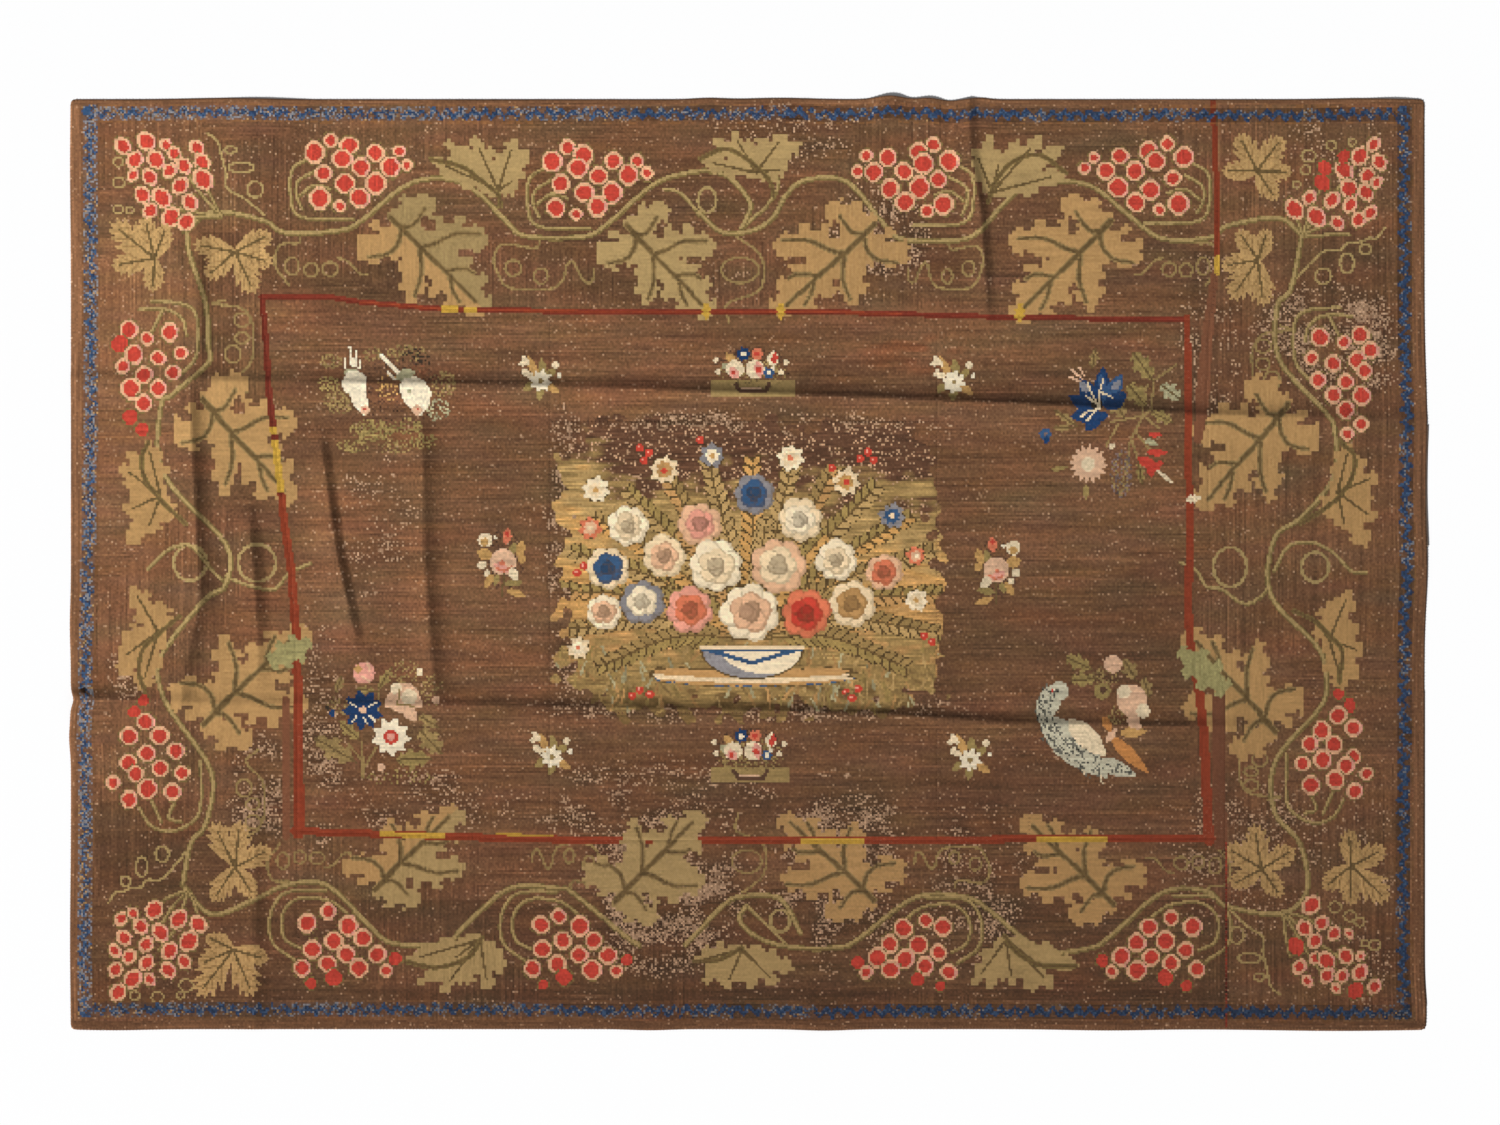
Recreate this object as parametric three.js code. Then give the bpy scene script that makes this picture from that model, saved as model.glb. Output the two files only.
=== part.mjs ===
// A large needlework rug, one sheet of stitched wool cloth with its hem turned under. It lies
// flat on a floor and still shows the folds it was stored in. Millimetres, +X along the rug's
// length, +Y towards its upper end as seen from above, +Z up, the floor at Z = 0.
import * as THREE from "three";

// Driving dimensions
const length = 3050;
const width = 2100;
const thickness = 3;
const cornerInset = 7; // how far a worn corner falls short of a square one, each way
const cornerReach = 28; // how far along a side the corner's rounding goes
const gridStep = 72; // the widest step between grid lines, away from the folds
const edgeGrip = 8; // a side's waves fade inwards with this power of the distance from the middle
const flatBelow = 0.05; // a rise under this is no rise at all, and the cloth lies on the floor

// Folds and creases that stayed in the cloth. Each rises to a crest: steep is the width of its
// steep flank, towards +Y or +X, gentle that of the other flank, and sharp is 1 for a pressed
// crease and 0 for a soft roll. Columns of points: along the fold, across it, height of the crest.
const foldsAlongX = [
  {
    name: "lower fold",
    steep: 30,
    gentle: 80,
    sharp: 0.7,
    points: [
      [-1525, -292, 5], [-1400, -303, 3], [-1150, -310, 1.5], [-700, -314, 5], [-110, -324, 6],
      [300, -334, 7], [600, -355, 6.5], [980, -360, 4], [1200, -362, 0], [1525, -365, 0],
    ],
  },
  {
    name: "upper fold",
    steep: 34,
    gentle: 90,
    sharp: 0.9,
    points: [
      [-1525, 424, 2], [-1250, 418, 3], [-940, 411, 5], [-670, 408, 7.5], [-220, 397, 7],
      [115, 384, 8], [450, 371, 8.5], [745, 358, 8], [1016, 340, 5], [1310, 334, 3], [1525, 330, 1],
    ],
  },
];
const foldsAlongY = [
  {
    name: "outer left crease",
    steep: 46,
    gentle: 80,
    sharp: 0,
    points: [
      [-1050, -1262, 0], [-350, -1262, 0], [-300, -1259, 4], [-195, -1240, 5], [-82, -1216, 8],
      [143, -1227, 9], [346, -1238, 8], [413, -1236, 3], [520, -1222, 5], [640, -1222, 5],
      [780, -1222, 0], [1050, -1222, 0],
    ],
  },
  {
    name: "inner left crease",
    steep: 36,
    gentle: 74,
    sharp: 0.1,
    points: [
      [-1050, -1092, 2], [-760, -1092, 4], [-600, -1092, 2], [-310, -1090, 0], [-172, -1085, 4],
      [-40, -1094, 7], [70, -1104, 6], [150, -1106, 0], [420, -1102, 0], [500, -1102, 3],
      [600, -1104, 0], [1050, -1104, 0],
    ],
  },
  {
    name: "slanting crease",
    steep: 34,
    gentle: 76,
    sharp: 0.2,
    points: [
      [-1050, -868, 0], [-200, -868, 0], [-155, -872, 5], [0, -908, 9], [130, -928, 8],
      [250, -944, 6], [310, -948, 0], [1050, -948, 0],
    ],
  },
  {
    name: "field crease",
    steep: 48,
    gentle: 70,
    sharp: 0.1,
    points: [
      [-1050, -690, 0], [-330, -690, 0], [-280, -692, 5], [-150, -702, 7], [10, -714, 7],
      [280, -718, 5], [345, -718, 0], [1050, -718, 0],
    ],
  },
  {
    name: "top ripple",
    steep: 34,
    gentle: 60,
    sharp: 0.2,
    points: [
      [-1050, 550, 0], [520, 550, 0], [600, 546, 4], [796, 532, 7], [931, 510, 5], [1050, 506, 3],
    ],
  },
];

// Low, wide swells where the cloth doesn't lie quite down
const swells = [
  { x: 318, y: 1042, reachX: 60, reachY: 90, height: 6 },
  { x: 402, y: 1046, reachX: 50, reachY: 70, height: 4 },
  { x: 1462, y: 1040, reachX: 80, reachY: 60, height: 3 },
  { x: -1080, y: 1030, reachX: 120, reachY: 90, height: 2.5 },
  { x: 180, y: -1036, reachX: 140, reachY: 80, height: 2.5 },
  { x: -1500, y: -300, reachX: 70, reachY: 90, height: 3 },
  { x: 1500, y: 60, reachX: 60, reachY: 240, height: 2.5 },
];

// How far short of the full size each side stays, and the bumps that bring it out again: at is
// the place along the side, out the height of the bump and reach its half width
const sides = {
  top: {
    short: 8,
    bumps: [
      { at: 318, out: 8, reach: 40 }, { at: 404, out: 3, reach: 26 }, { at: 520, out: 4, reach: 26 },
      { at: -1170, out: 3, reach: 110 }, { at: -88, out: 3, reach: 45 }, { at: 72, out: 3, reach: 90 },
      { at: 1380, out: 2.5, reach: 90 }, { at: 455, out: -3, reach: 24 },
    ],
  },
  bottom: {
    short: 4,
    bumps: [
      { at: 170, out: 3, reach: 70 }, { at: 1330, out: 4, reach: 220 }, { at: 810, out: 3, reach: 130 },
      { at: -1430, out: 2.5, reach: 100 }, { at: -220, out: 2.5, reach: 60 },
    ],
  },
  left: {
    short: 4,
    bumps: [
      { at: -305, out: -7, reach: 18 }, { at: -390, out: 4, reach: 40 }, { at: -140, out: 2.5, reach: 70 },
      { at: 900, out: 2, reach: 160 }, { at: -850, out: 2, reach: 160 },
    ],
  },
  right: {
    short: 7,
    bumps: [
      { at: 320, out: 6, reach: 150 }, { at: -5, out: 6.5, reach: 120 }, { at: -1010, out: 5, reach: 60 },
    ],
  },
};

// Value in column at of a fold's points, for a place along it
function alongFold(fold, place, at) {
  const points = fold.points;
  let i = 1;
  while (i < points.length - 1 && points[i][0] < place) i += 1;
  const [before, after] = [points[i - 1], points[i]];
  const share = THREE.MathUtils.clamp((place - before[0]) / (after[0] - before[0]), 0, 1);
  return before[at] + (after[at] - before[at]) * share;
}

function foldRise(fold, along, across) {
  const off = across - alongFold(fold, along, 1);
  const share = Math.min(1, off > 0 ? off / fold.steep : -off / fold.gentle);
  const fall = (1 - share) ** 2 * (1 + 2 * (1 - fold.sharp) * share);
  return alongFold(fold, along, 2) * fall;
}

// How high the underside is above the floor
function rise(x, y) {
  let sum = 0;
  for (const fold of foldsAlongX) sum += foldRise(fold, x, y);
  for (const fold of foldsAlongY) sum += foldRise(fold, y, x);
  for (const swell of swells) {
    const away = Math.hypot((x - swell.x) / swell.reachX, (y - swell.y) / swell.reachY);
    sum += swell.height * (away < 1 ? (1 - away * away) ** 2 : 0);
  }
  return sum < flatBelow ? 0 : sum;
}

// How far a side lies inside the full size, at a place along it
function inset(side, at, sideLength) {
  let depth = side.short;
  for (const bump of side.bumps) depth -= bump.out * Math.exp(-(((at - bump.at) / bump.reach) ** 2));
  const toCorner = (sideLength / 2 - Math.abs(at)) / cornerReach;
  return depth + (toCorner < 1 ? cornerInset * (1 - toCorner) ** 2 : 0);
}

function outlined(x, y) {
  const shiftX = inset(x < 0 ? sides.left : sides.right, y, width);
  const shiftY = inset(y < 0 ? sides.bottom : sides.top, x, length);
  return [
    x - Math.sign(x) * shiftX * Math.abs((2 * x) / length) ** edgeGrip,
    y - Math.sign(y) * shiftY * Math.abs((2 * y) / width) ** edgeGrip,
  ];
}

// Grid lines over one direction: both sides and the ends of their corners, a few lines along
// each fold, and evenly spaced lines between them. Each is a function of the place along it.
function gridLines(folds, half) {
  const guides = [() => -half, () => cornerReach - half];
  for (const fold of folds) {
    const offsets = [-fold.gentle, -0.35 * fold.gentle, 0, 0.42 * fold.steep, fold.steep];
    for (const offset of offsets) guides.push((place) => alongFold(fold, place, 1) + offset);
  }
  guides.push(() => half - cornerReach, () => half);
  const lines = [guides[0]];
  for (let i = 1; i < guides.length; i += 1) {
    const [before, after] = [guides[i - 1], guides[i]];
    const steps = Math.max(1, Math.ceil((after(0) - before(0)) / gridStep));
    for (let k = 1; k <= steps; k += 1) {
      lines.push((place) => before(place) + ((after(place) - before(place)) * k) / steps);
    }
  }
  return lines;
}

// Where a column and a row of the grid cross
function crossing(column, row) {
  let [x, y] = [column(0), row(0)];
  for (let i = 0; i < 6; i += 1) [x, y] = [column(y), row(x)];
  return [x, y];
}

// Moves the points so that one direction spans the full size, centred on the origin
function spanFully(points, axis, size) {
  const values = points.map((point) => point[axis]);
  const [low, high] = [Math.min(...values), Math.max(...values)];
  for (const point of points) point[axis] = ((point[axis] - low) / (high - low) - 0.5) * size;
}

function rugGeometry() {
  const columns = gridLines(foldsAlongY, length / 2);
  const rows = gridLines(foldsAlongX, width / 2);
  const flat = rows.flatMap((row) => columns.map((column) => crossing(column, row)));
  const heights = flat.map(([x, y]) => rise(x, y));
  const outline = flat.map(([x, y]) => outlined(x, y));
  spanFully(outline, 0, length);
  spanFully(outline, 1, width);

  const layers = [0, thickness].map((lift) => outline.map(([x, y], i) => [x, y, heights[i] + lift]));
  const count = outline.length;
  const across = columns.length;
  const faces = [];
  const addQuad = (a, b, c, d) => faces.push(a, b, c, a, c, d);
  for (let j = 0; j < rows.length - 1; j += 1) {
    for (let i = 0; i < across - 1; i += 1) {
      const corner = j * across + i;
      const ring = [corner, corner + 1, corner + across + 1, corner + across];
      addQuad(...ring.toReversed());
      addQuad(...ring.map((n) => n + count));
    }
  }
  const last = (rows.length - 1) * across;
  const addWall = (from, to) => addQuad(from, to, to + count, from + count);
  for (let i = 0; i < across - 1; i += 1) {
    addWall(i, i + 1);
    addWall(last + i + 1, last + i);
  }
  for (let j = 0; j < rows.length - 1; j += 1) {
    const left = j * across;
    const right = left + across - 1;
    addWall(left + across, left);
    addWall(right, right + across);
  }

  const geometry = new THREE.BufferGeometry();
  geometry.setAttribute("position", new THREE.Float32BufferAttribute(layers.flat(2), 3));
  geometry.setIndex(faces);
  geometry.computeVertexNormals();
  return geometry;
}

const brownWool = new THREE.MeshStandardMaterial({ color: 0x6d503c, roughness: 0.95, metalness: 0 });
const rug = new THREE.Mesh(rugGeometry(), brownWool);
rug.name = "rug_cloth";

const group = new THREE.Group();
group.add(rug);
export default group;
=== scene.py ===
# A large antique needlework rug lying flat: brown wool cross-stitch on canvas, sewn from panels,
# with a grapevine border, a thin rust-red band round the field and small flower motifs. Metres.
import math
import bpy
import numpy as np
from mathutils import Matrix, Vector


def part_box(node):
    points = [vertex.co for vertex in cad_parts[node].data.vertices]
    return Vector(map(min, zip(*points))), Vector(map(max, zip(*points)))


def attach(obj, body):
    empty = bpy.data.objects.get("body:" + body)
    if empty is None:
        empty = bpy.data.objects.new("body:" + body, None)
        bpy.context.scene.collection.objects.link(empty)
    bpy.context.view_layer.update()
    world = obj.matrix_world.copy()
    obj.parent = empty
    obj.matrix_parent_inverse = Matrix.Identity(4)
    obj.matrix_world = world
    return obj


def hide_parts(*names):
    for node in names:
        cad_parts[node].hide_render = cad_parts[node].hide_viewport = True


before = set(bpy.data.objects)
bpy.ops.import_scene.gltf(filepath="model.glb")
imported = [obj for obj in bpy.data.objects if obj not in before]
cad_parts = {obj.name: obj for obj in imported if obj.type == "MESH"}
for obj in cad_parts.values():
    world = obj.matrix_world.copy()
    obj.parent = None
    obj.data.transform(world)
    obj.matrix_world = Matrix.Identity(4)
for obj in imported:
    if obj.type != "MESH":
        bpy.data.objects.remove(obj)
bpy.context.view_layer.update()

mm = 0.001
rugLow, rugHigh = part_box("rug_cloth")
length = rugHigh[0] - rugLow[0]
width = rugHigh[1] - rugLow[1]

cloth = {
    "stitch": 0.0042,  # one cross-stitch
    "top": 0.003,  # the wool's surface above the underside
    "canvasTop": 0.0012,
    "canvasBottom": 0.0004,
    "canvasInset": 0.0018,  # how far the canvas ends inside the wool
    "canvasStep": 4,  # stitches to one of its faces
    "seamDepth": 0.0009,  # how far the wool dips at a sewn join
    "cornerInset": 0.0028,
    "cornerReach": 0.012,
    "edgeGrip": 8,
    "rims": (0.0009, 0.0019, 0.0026),  # the wool's height at the rug's edge and one and two stitches in
    "rimLow": 0.0005,  # where it turns down, and where it tucks under
    "rimUnder": 0.0001,
    "tuck": 0.0016,
    "fuzz": 0.00016,  # unevenness from stitch to stitch
    "swell": 0.00035,  # unevenness from patch to patch
}
# The photograph's pixels: the rug's middle, and its length from end to end
photo = {"centre": (748.2, 563.4), "span": 1358.5}
pixel = length / photo["span"]
columns = round(length / cloth["stitch"])
rows = round(width / cloth["stitch"])
stitchPixels = length / columns / pixel


def toPhoto(x, y):
    return photo["centre"][0] + x / pixel, photo["centre"][1] - y / pixel


def fromPhoto(u, v):
    centreU, centreV = photo["centre"]
    return (np.asarray(u, float) - centreU) * pixel, (centreV - np.asarray(v, float)) * pixel


# The creases that stayed in the cloth, in millimetres. Each has a pinched flank towards +Y or +X,
# so wide and falling away with this power, and a gentle one. Points hold the place along the
# crease, the place across it and the height of its crest.
creasesAlongX = [
    {"steep": 26, "power": 1.9, "gentle": 90, "lift": 1.35, "points": [
        (-1525, -294, 5), (-1400, -305, 3), (-1150, -312, 2), (-700, -316, 5), (-110, -326, 6),
        (300, -336, 7), (600, -357, 6.5), (980, -362, 4), (1200, -364, 0), (1525, -367, 0)]},
    {"steep": 42, "power": 3.0, "gentle": 84, "lift": 1.45, "points": [
        (-1525, 420, 2), (-1250, 414, 3), (-940, 407, 5), (-670, 404, 7.5), (-220, 393, 7),
        (115, 380, 8), (450, 367, 8.5), (745, 354, 8), (1016, 336, 5), (1310, 330, 3), (1525, 326, 1)]},
]
creasesAlongY = [
    {"steep": 36, "power": 1.7, "gentle": 80, "lift": 1.4, "points": [
        (-1050, -1274, 0), (-350, -1274, 0), (-300, -1271, 4), (-195, -1252, 5), (-82, -1228, 8),
        (143, -1239, 9), (346, -1250, 8), (413, -1248, 3), (520, -1234, 5), (640, -1234, 5),
        (780, -1234, 0), (1050, -1234, 0)]},
    {"steep": 30, "power": 1.5, "gentle": 74, "lift": 1.5, "points": [
        (-1050, -1104, 2), (-760, -1104, 4), (-600, -1104, 2), (-310, -1102, 0), (-172, -1097, 4),
        (-40, -1106, 7), (70, -1116, 6), (150, -1118, 0), (420, -1114, 0), (500, -1114, 3),
        (600, -1116, 0), (1050, -1116, 0)]},
    {"steep": 20, "power": 1.15, "gentle": 76, "lift": 1.25, "points": [
        (-1050, -878, 0), (-200, -878, 0), (-155, -882, 5), (0, -918, 9), (130, -938, 8),
        (250, -954, 6), (310, -958, 0), (1050, -958, 0)]},
    {"steep": 54, "power": 2.4, "gentle": 70, "lift": 1.45, "points": [
        (-1050, -700, 0), (-330, -700, 0), (-280, -702, 5), (-150, -712, 7), (10, -724, 7),
        (280, -728, 5), (345, -728, 0), (1050, -728, 0)]},
    {"steep": 22, "power": 1.4, "gentle": 60, "lift": 1.45, "points": [
        (-1050, 540, 0), (520, 540, 0), (600, 536, 4), (796, 522, 7), (931, 500, 5), (1050, 496, 3)]},
]
# Low swells: place, half widths and height in millimetres
swells = [
    (318, 1042, 60, 90, 6), (402, 1046, 50, 70, 4), (1462, 1040, 80, 60, 3), (-1080, 1030, 120, 90, 2.5),
    (180, -1036, 140, 80, 2.5), (-1500, -300, 70, 90, 3), (1500, 60, 60, 240, 2.5),
]
# How far short of the full size each side stays, and the bumps that bring it out again, in
# millimetres: place along the side, height and half width
sides = {
    "top": (8, [(318, 8, 40), (404, 3, 26), (520, 4, 26), (-1170, 3, 110), (-88, 3, 45),
                (72, 3, 90), (1380, 2.5, 90), (455, -3, 24)]),
    "bottom": (4, [(170, 3, 70), (1330, 4, 220), (810, 3, 130), (-1430, 2.5, 100), (-220, 2.5, 60)]),
    "left": (4, [(-305, -7, 18), (-390, 4, 40), (-140, 2.5, 70), (900, 2, 160), (-850, 2, 160)]),
    "right": (7, [(320, 6, 150), (-5, 6.5, 120), (-1010, 5, 60)]),
}


def creaseRise(crease, along, across):
    points = np.array(crease["points"]) * mm
    off = across - np.interp(along, points[:, 0], points[:, 1])
    steep = np.clip(1 - off / (crease["steep"] * mm), 0, 1) ** crease["power"]
    gentle = np.clip(1 + off / (crease["gentle"] * mm), 0, 1)
    gentle = gentle ** 2 * (2 - gentle)
    return np.interp(along, points[:, 0], points[:, 2]) * crease["lift"] * np.where(off > 0, steep, gentle)


def rise(x, y):  # how high the underside is above the floor
    total = np.zeros(np.broadcast(x, y).shape)
    for crease in creasesAlongX:
        total += creaseRise(crease, x, y)
    for crease in creasesAlongY:
        total += creaseRise(crease, y, x)
    for swellX, swellY, reachX, reachY, height in swells:
        away = np.hypot((x - swellX * mm) / (reachX * mm), (y - swellY * mm) / (reachY * mm))
        total += height * mm * np.where(away < 1, (1 - np.minimum(away, 1) ** 2) ** 2, 0)
    return total


def inset(side, at, sideLength):
    short, bumps = sides[side]
    depth = np.full(np.shape(at), short * mm)
    for place, out, reach in bumps:
        depth -= out * mm * np.exp(-((at - place * mm) / (reach * mm)) ** 2)
    toCorner = np.clip((sideLength / 2 - np.abs(at)) / cloth["cornerReach"], 0, 1)
    return depth + cloth["cornerInset"] * (1 - toCorner) ** 2


def outlined(x, y):  # the worn, slightly wavy outline
    shiftX = np.where(x < 0, inset("left", y, width), inset("right", y, width))
    shiftY = np.where(y < 0, inset("bottom", x, length), inset("top", x, length))
    newX = x - np.sign(x) * shiftX * np.abs(2 * x / length) ** cloth["edgeGrip"]
    newY = y - np.sign(y) * shiftY * np.abs(2 * y / width) ** cloth["edgeGrip"]
    return newX, newY


# The chart: one cell for each stitch, row 0 at the rug's lower end
stitchX = ((np.arange(columns) + 0.5) / columns - 0.5) * length
stitchY = ((np.arange(rows) + 0.5) / rows - 0.5) * width
stitchU, stitchV = toPhoto(*np.meshgrid(stitchX, stitchY))
blockU = stitchU[:, (np.arange(columns) // 2) * 2] + stitchPixels / 2  # steps two stitches wide
blockV = stitchV[(np.arange(rows) // 2) * 2, :] - stitchPixels / 2
chart = {"wool": np.zeros((rows, columns, 3)), "worn": np.zeros((rows, columns))}
jitter = np.clip(np.random.default_rng(3).standard_normal((rows, columns)), -2.2, 2.2)


def wool(red, green, blue):  # a wool's colour as the eye sees it, for Blender
    share = np.array([red, green, blue]) / 255
    return np.where(share > 0.04045, ((share + 0.055) / 1.055) ** 2.4, share / 12.92)


wools = {
    "brown": (108, 75, 50), "umber": (84, 58, 42), "dark": (52, 42, 32), "tan": (168, 131, 83),
    "sage": (160, 134, 88), "deepSage": (144, 121, 79), "vein": (98, 78, 46), "olive": (138, 115, 72),
    "leaf": (140, 120, 72), "vineLight": (156, 133, 86), "vineDark": (112, 94, 54), "coral": (180, 61, 47),
    "ring": (206, 158, 122), "rust": (130, 54, 30), "maroon": (104, 40, 26), "yellow": (180, 142, 54),
    "green": (146, 137, 90), "cream": (214, 194, 160), "white": (222, 208, 180), "pink": (208, 146, 128),
    "peach": (206, 166, 134), "salmon": (196, 110, 80), "blue": (22, 52, 90), "midBlue": (48, 78, 114),
    "paleBlue": (122, 121, 126), "greyGreen": (158, 152, 118), "orange": (184, 124, 68),
    "ochre": (178, 138, 82), "slate": (92, 90, 80), "feather": (186, 180, 156), "canvas": (196, 160, 128),
    "lilac": (112, 94, 90), "fadedRed": (118, 74, 50), "hem": (116, 80, 54),
}
wools = {name: wool(*colour) for name, colour in wools.items()}


def softNoise(across, along, seed):
    # Even noise with streaks so many stitches wide and high, mean 0 and spread 1
    field = np.random.default_rng(seed).standard_normal((rows, columns))
    for axis, reach in ((1, across), (0, along)):
        for _ in range(3 if reach > 1 else 0):
            wrapped = np.concatenate([field, np.take(field, range(reach), axis=axis)], axis=axis)
            wrapped = wrapped.cumsum(axis=axis)
            ahead = np.take(wrapped, range(reach, field.shape[axis] + reach), axis=axis)
            field = ahead - np.take(wrapped, range(field.shape[axis]), axis=axis)
    return (field - field.mean()) / field.std()


speckle = np.random.default_rng(5).random((rows, columns))
inField = (stitchU > 262) & (stitchU < 1190) & (stitchV > 305) & (stitchV < 835)
# Where the wool is worked up and down: seldom in the upper border, mostly in the right one
turning = np.where(stitchU > 1217, -1.0, np.where(stitchV < 300, 0.6, np.where(stitchU < 262, 0.3, -0.1)))
isDown = (~inField) & (softNoise(50, 50, 25) > turning)
grain = np.clip(np.where(isDown, softNoise(1, 6, 28), softNoise(6, 1, 29)), -2, 2)


def curve(points, steps=5):  # a smooth line through the points
    points = np.asarray(points, float).reshape(-1, 2)
    ends = np.concatenate([2 * points[:1] - points[1:2], points, 2 * points[-1:] - points[-2:-1]])
    share = (np.arange(steps) / steps)[:, None]
    parts = [
        0.5 * (2 * start + (end - before) * share + (2 * before - 5 * start + 4 * end - after) * share ** 2
               + (3 * start - before - 3 * end + after) * share ** 3)
        for before, start, end, after in zip(ends[:-3], ends[1:-2], ends[2:-1], ends[3:])
    ]
    return np.concatenate(parts + [points[-1:]])


def around(points, margin):  # the part of the chart that can hold a shape
    points = np.asarray(points, float).reshape(-1, 2)
    (lowU, lowV), (highU, highV) = points.min(axis=0) - margin, points.max(axis=0) + margin
    across = (np.array([lowU, highU]) - stitchU[0, 0]) / stitchPixels + [0, 1]
    up = (stitchV[0, 0] - np.array([highV, lowV])) / stitchPixels + [0, 1]
    left, right = np.clip(across.astype(int), 0, columns)
    below, above = np.clip(up.astype(int), 0, rows)
    return np.s_[below:above, left:right]


def paint(window, inside, colour, vary=0.07):
    part = chart["wool"][window]
    tone = vary * jitter[window][inside] + 0.9 * vary * grain[window][inside]
    part[inside] = colour * (1 + tone)[:, None]


def stroke(points, thick, colour, vary=0.07, only=None):
    # A worked line through the points; thick is one width or one for each point
    points = np.asarray(points, float).reshape(-1, 2)
    widths = np.broadcast_to(thick, len(points))
    window = around(points, widths.max())
    u, v = stitchU[window], stitchV[window]
    inside = np.zeros(u.shape, bool)
    for (startU, startV), (endU, endV), first, last in zip(points[:-1], points[1:], widths[:-1], widths[1:]):
        stepU, stepV = endU - startU, endV - startV
        share = ((u - startU) * stepU + (v - startV) * stepV) / max(stepU ** 2 + stepV ** 2, 1e-6)
        share = np.clip(share, 0, 1)
        off = np.hypot(u - startU - share * stepU, v - startV - share * stepV)
        inside |= off < (first + (last - first) * share) / 2
    if only is not None:
        inside &= only(u, v)
    paint(window, inside, colour, vary)


def disc(centre, radius, colour, squash=1.0, vary=0.07, share=1.0):
    window = around([centre], radius * max(1, squash) + 2)
    u, v = stitchU[window] - centre[0], (stitchV[window] - centre[1]) / squash
    inside = np.hypot(u, v) < radius
    if share < 1:  # only so many of the stitches
        inside &= speckle[window] < share
    paint(window, inside, colour, vary)


# How wide a leaf lobe is along it, as shares of its half width and length: at its base, how fast
# it widens, where it ends, how long its tip is, and the power of the tip's curve
lobeForms = {"pointed": (0.26, 1.7, 1.0, 0.6, 0.8), "lobe": (0.5, 1.3, 1.04, 0.4, 0.55)}


def lobeMask(u, v, base, tip, half, form="petal", teeth=0, phase=0.0):
    # Points inside a petal or a leaf lobe that runs from base to tip
    stepU, stepV = tip[0] - base[0], tip[1] - base[1]
    reach = math.hypot(stepU, stepV)
    along = ((u - base[0]) * stepU + (v - base[1]) * stepV) / reach ** 2
    off = np.abs((u - base[0]) * stepV - (v - base[1]) * stepU) / reach
    share = np.clip(along, 0, 1)
    if form == "petal":
        limit = half * np.sin(math.pi * share ** 0.85) ** 0.8
    else:
        atBase, widening, end, tipLength, power = lobeForms[form]
        limit = half * np.minimum(1, atBase + widening * share)
        limit = limit * np.clip((end - share) / tipLength, 0, 1) ** power
    if teeth:
        limit = limit * (1 + 0.24 * np.sign(np.sin(2 * math.pi * (teeth * share + phase))))
    return (off < limit) & (along > -0.02) & (along < 1.02)


def petal(base, tip, half, colour, vary=0.07, **form):
    window = around([base, tip], half + 2)
    paint(window, lobeMask(stitchU[window], stitchV[window], base, tip, half, **form), colour, vary)


def flower(centre, radius, count, colour, eye, eyeShare=0.3, turn=0.0, fill=0.85):
    half = radius * math.sin(math.pi / count) * fill
    for i in range(count):
        angle = turn + 2 * math.pi * i / count
        tip = (centre[0] + radius * math.cos(angle), centre[1] + radius * math.sin(angle))
        petal(centre, tip, max(half, 1.4), colour)
    disc(centre, radius * eyeShare, eye)


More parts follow.
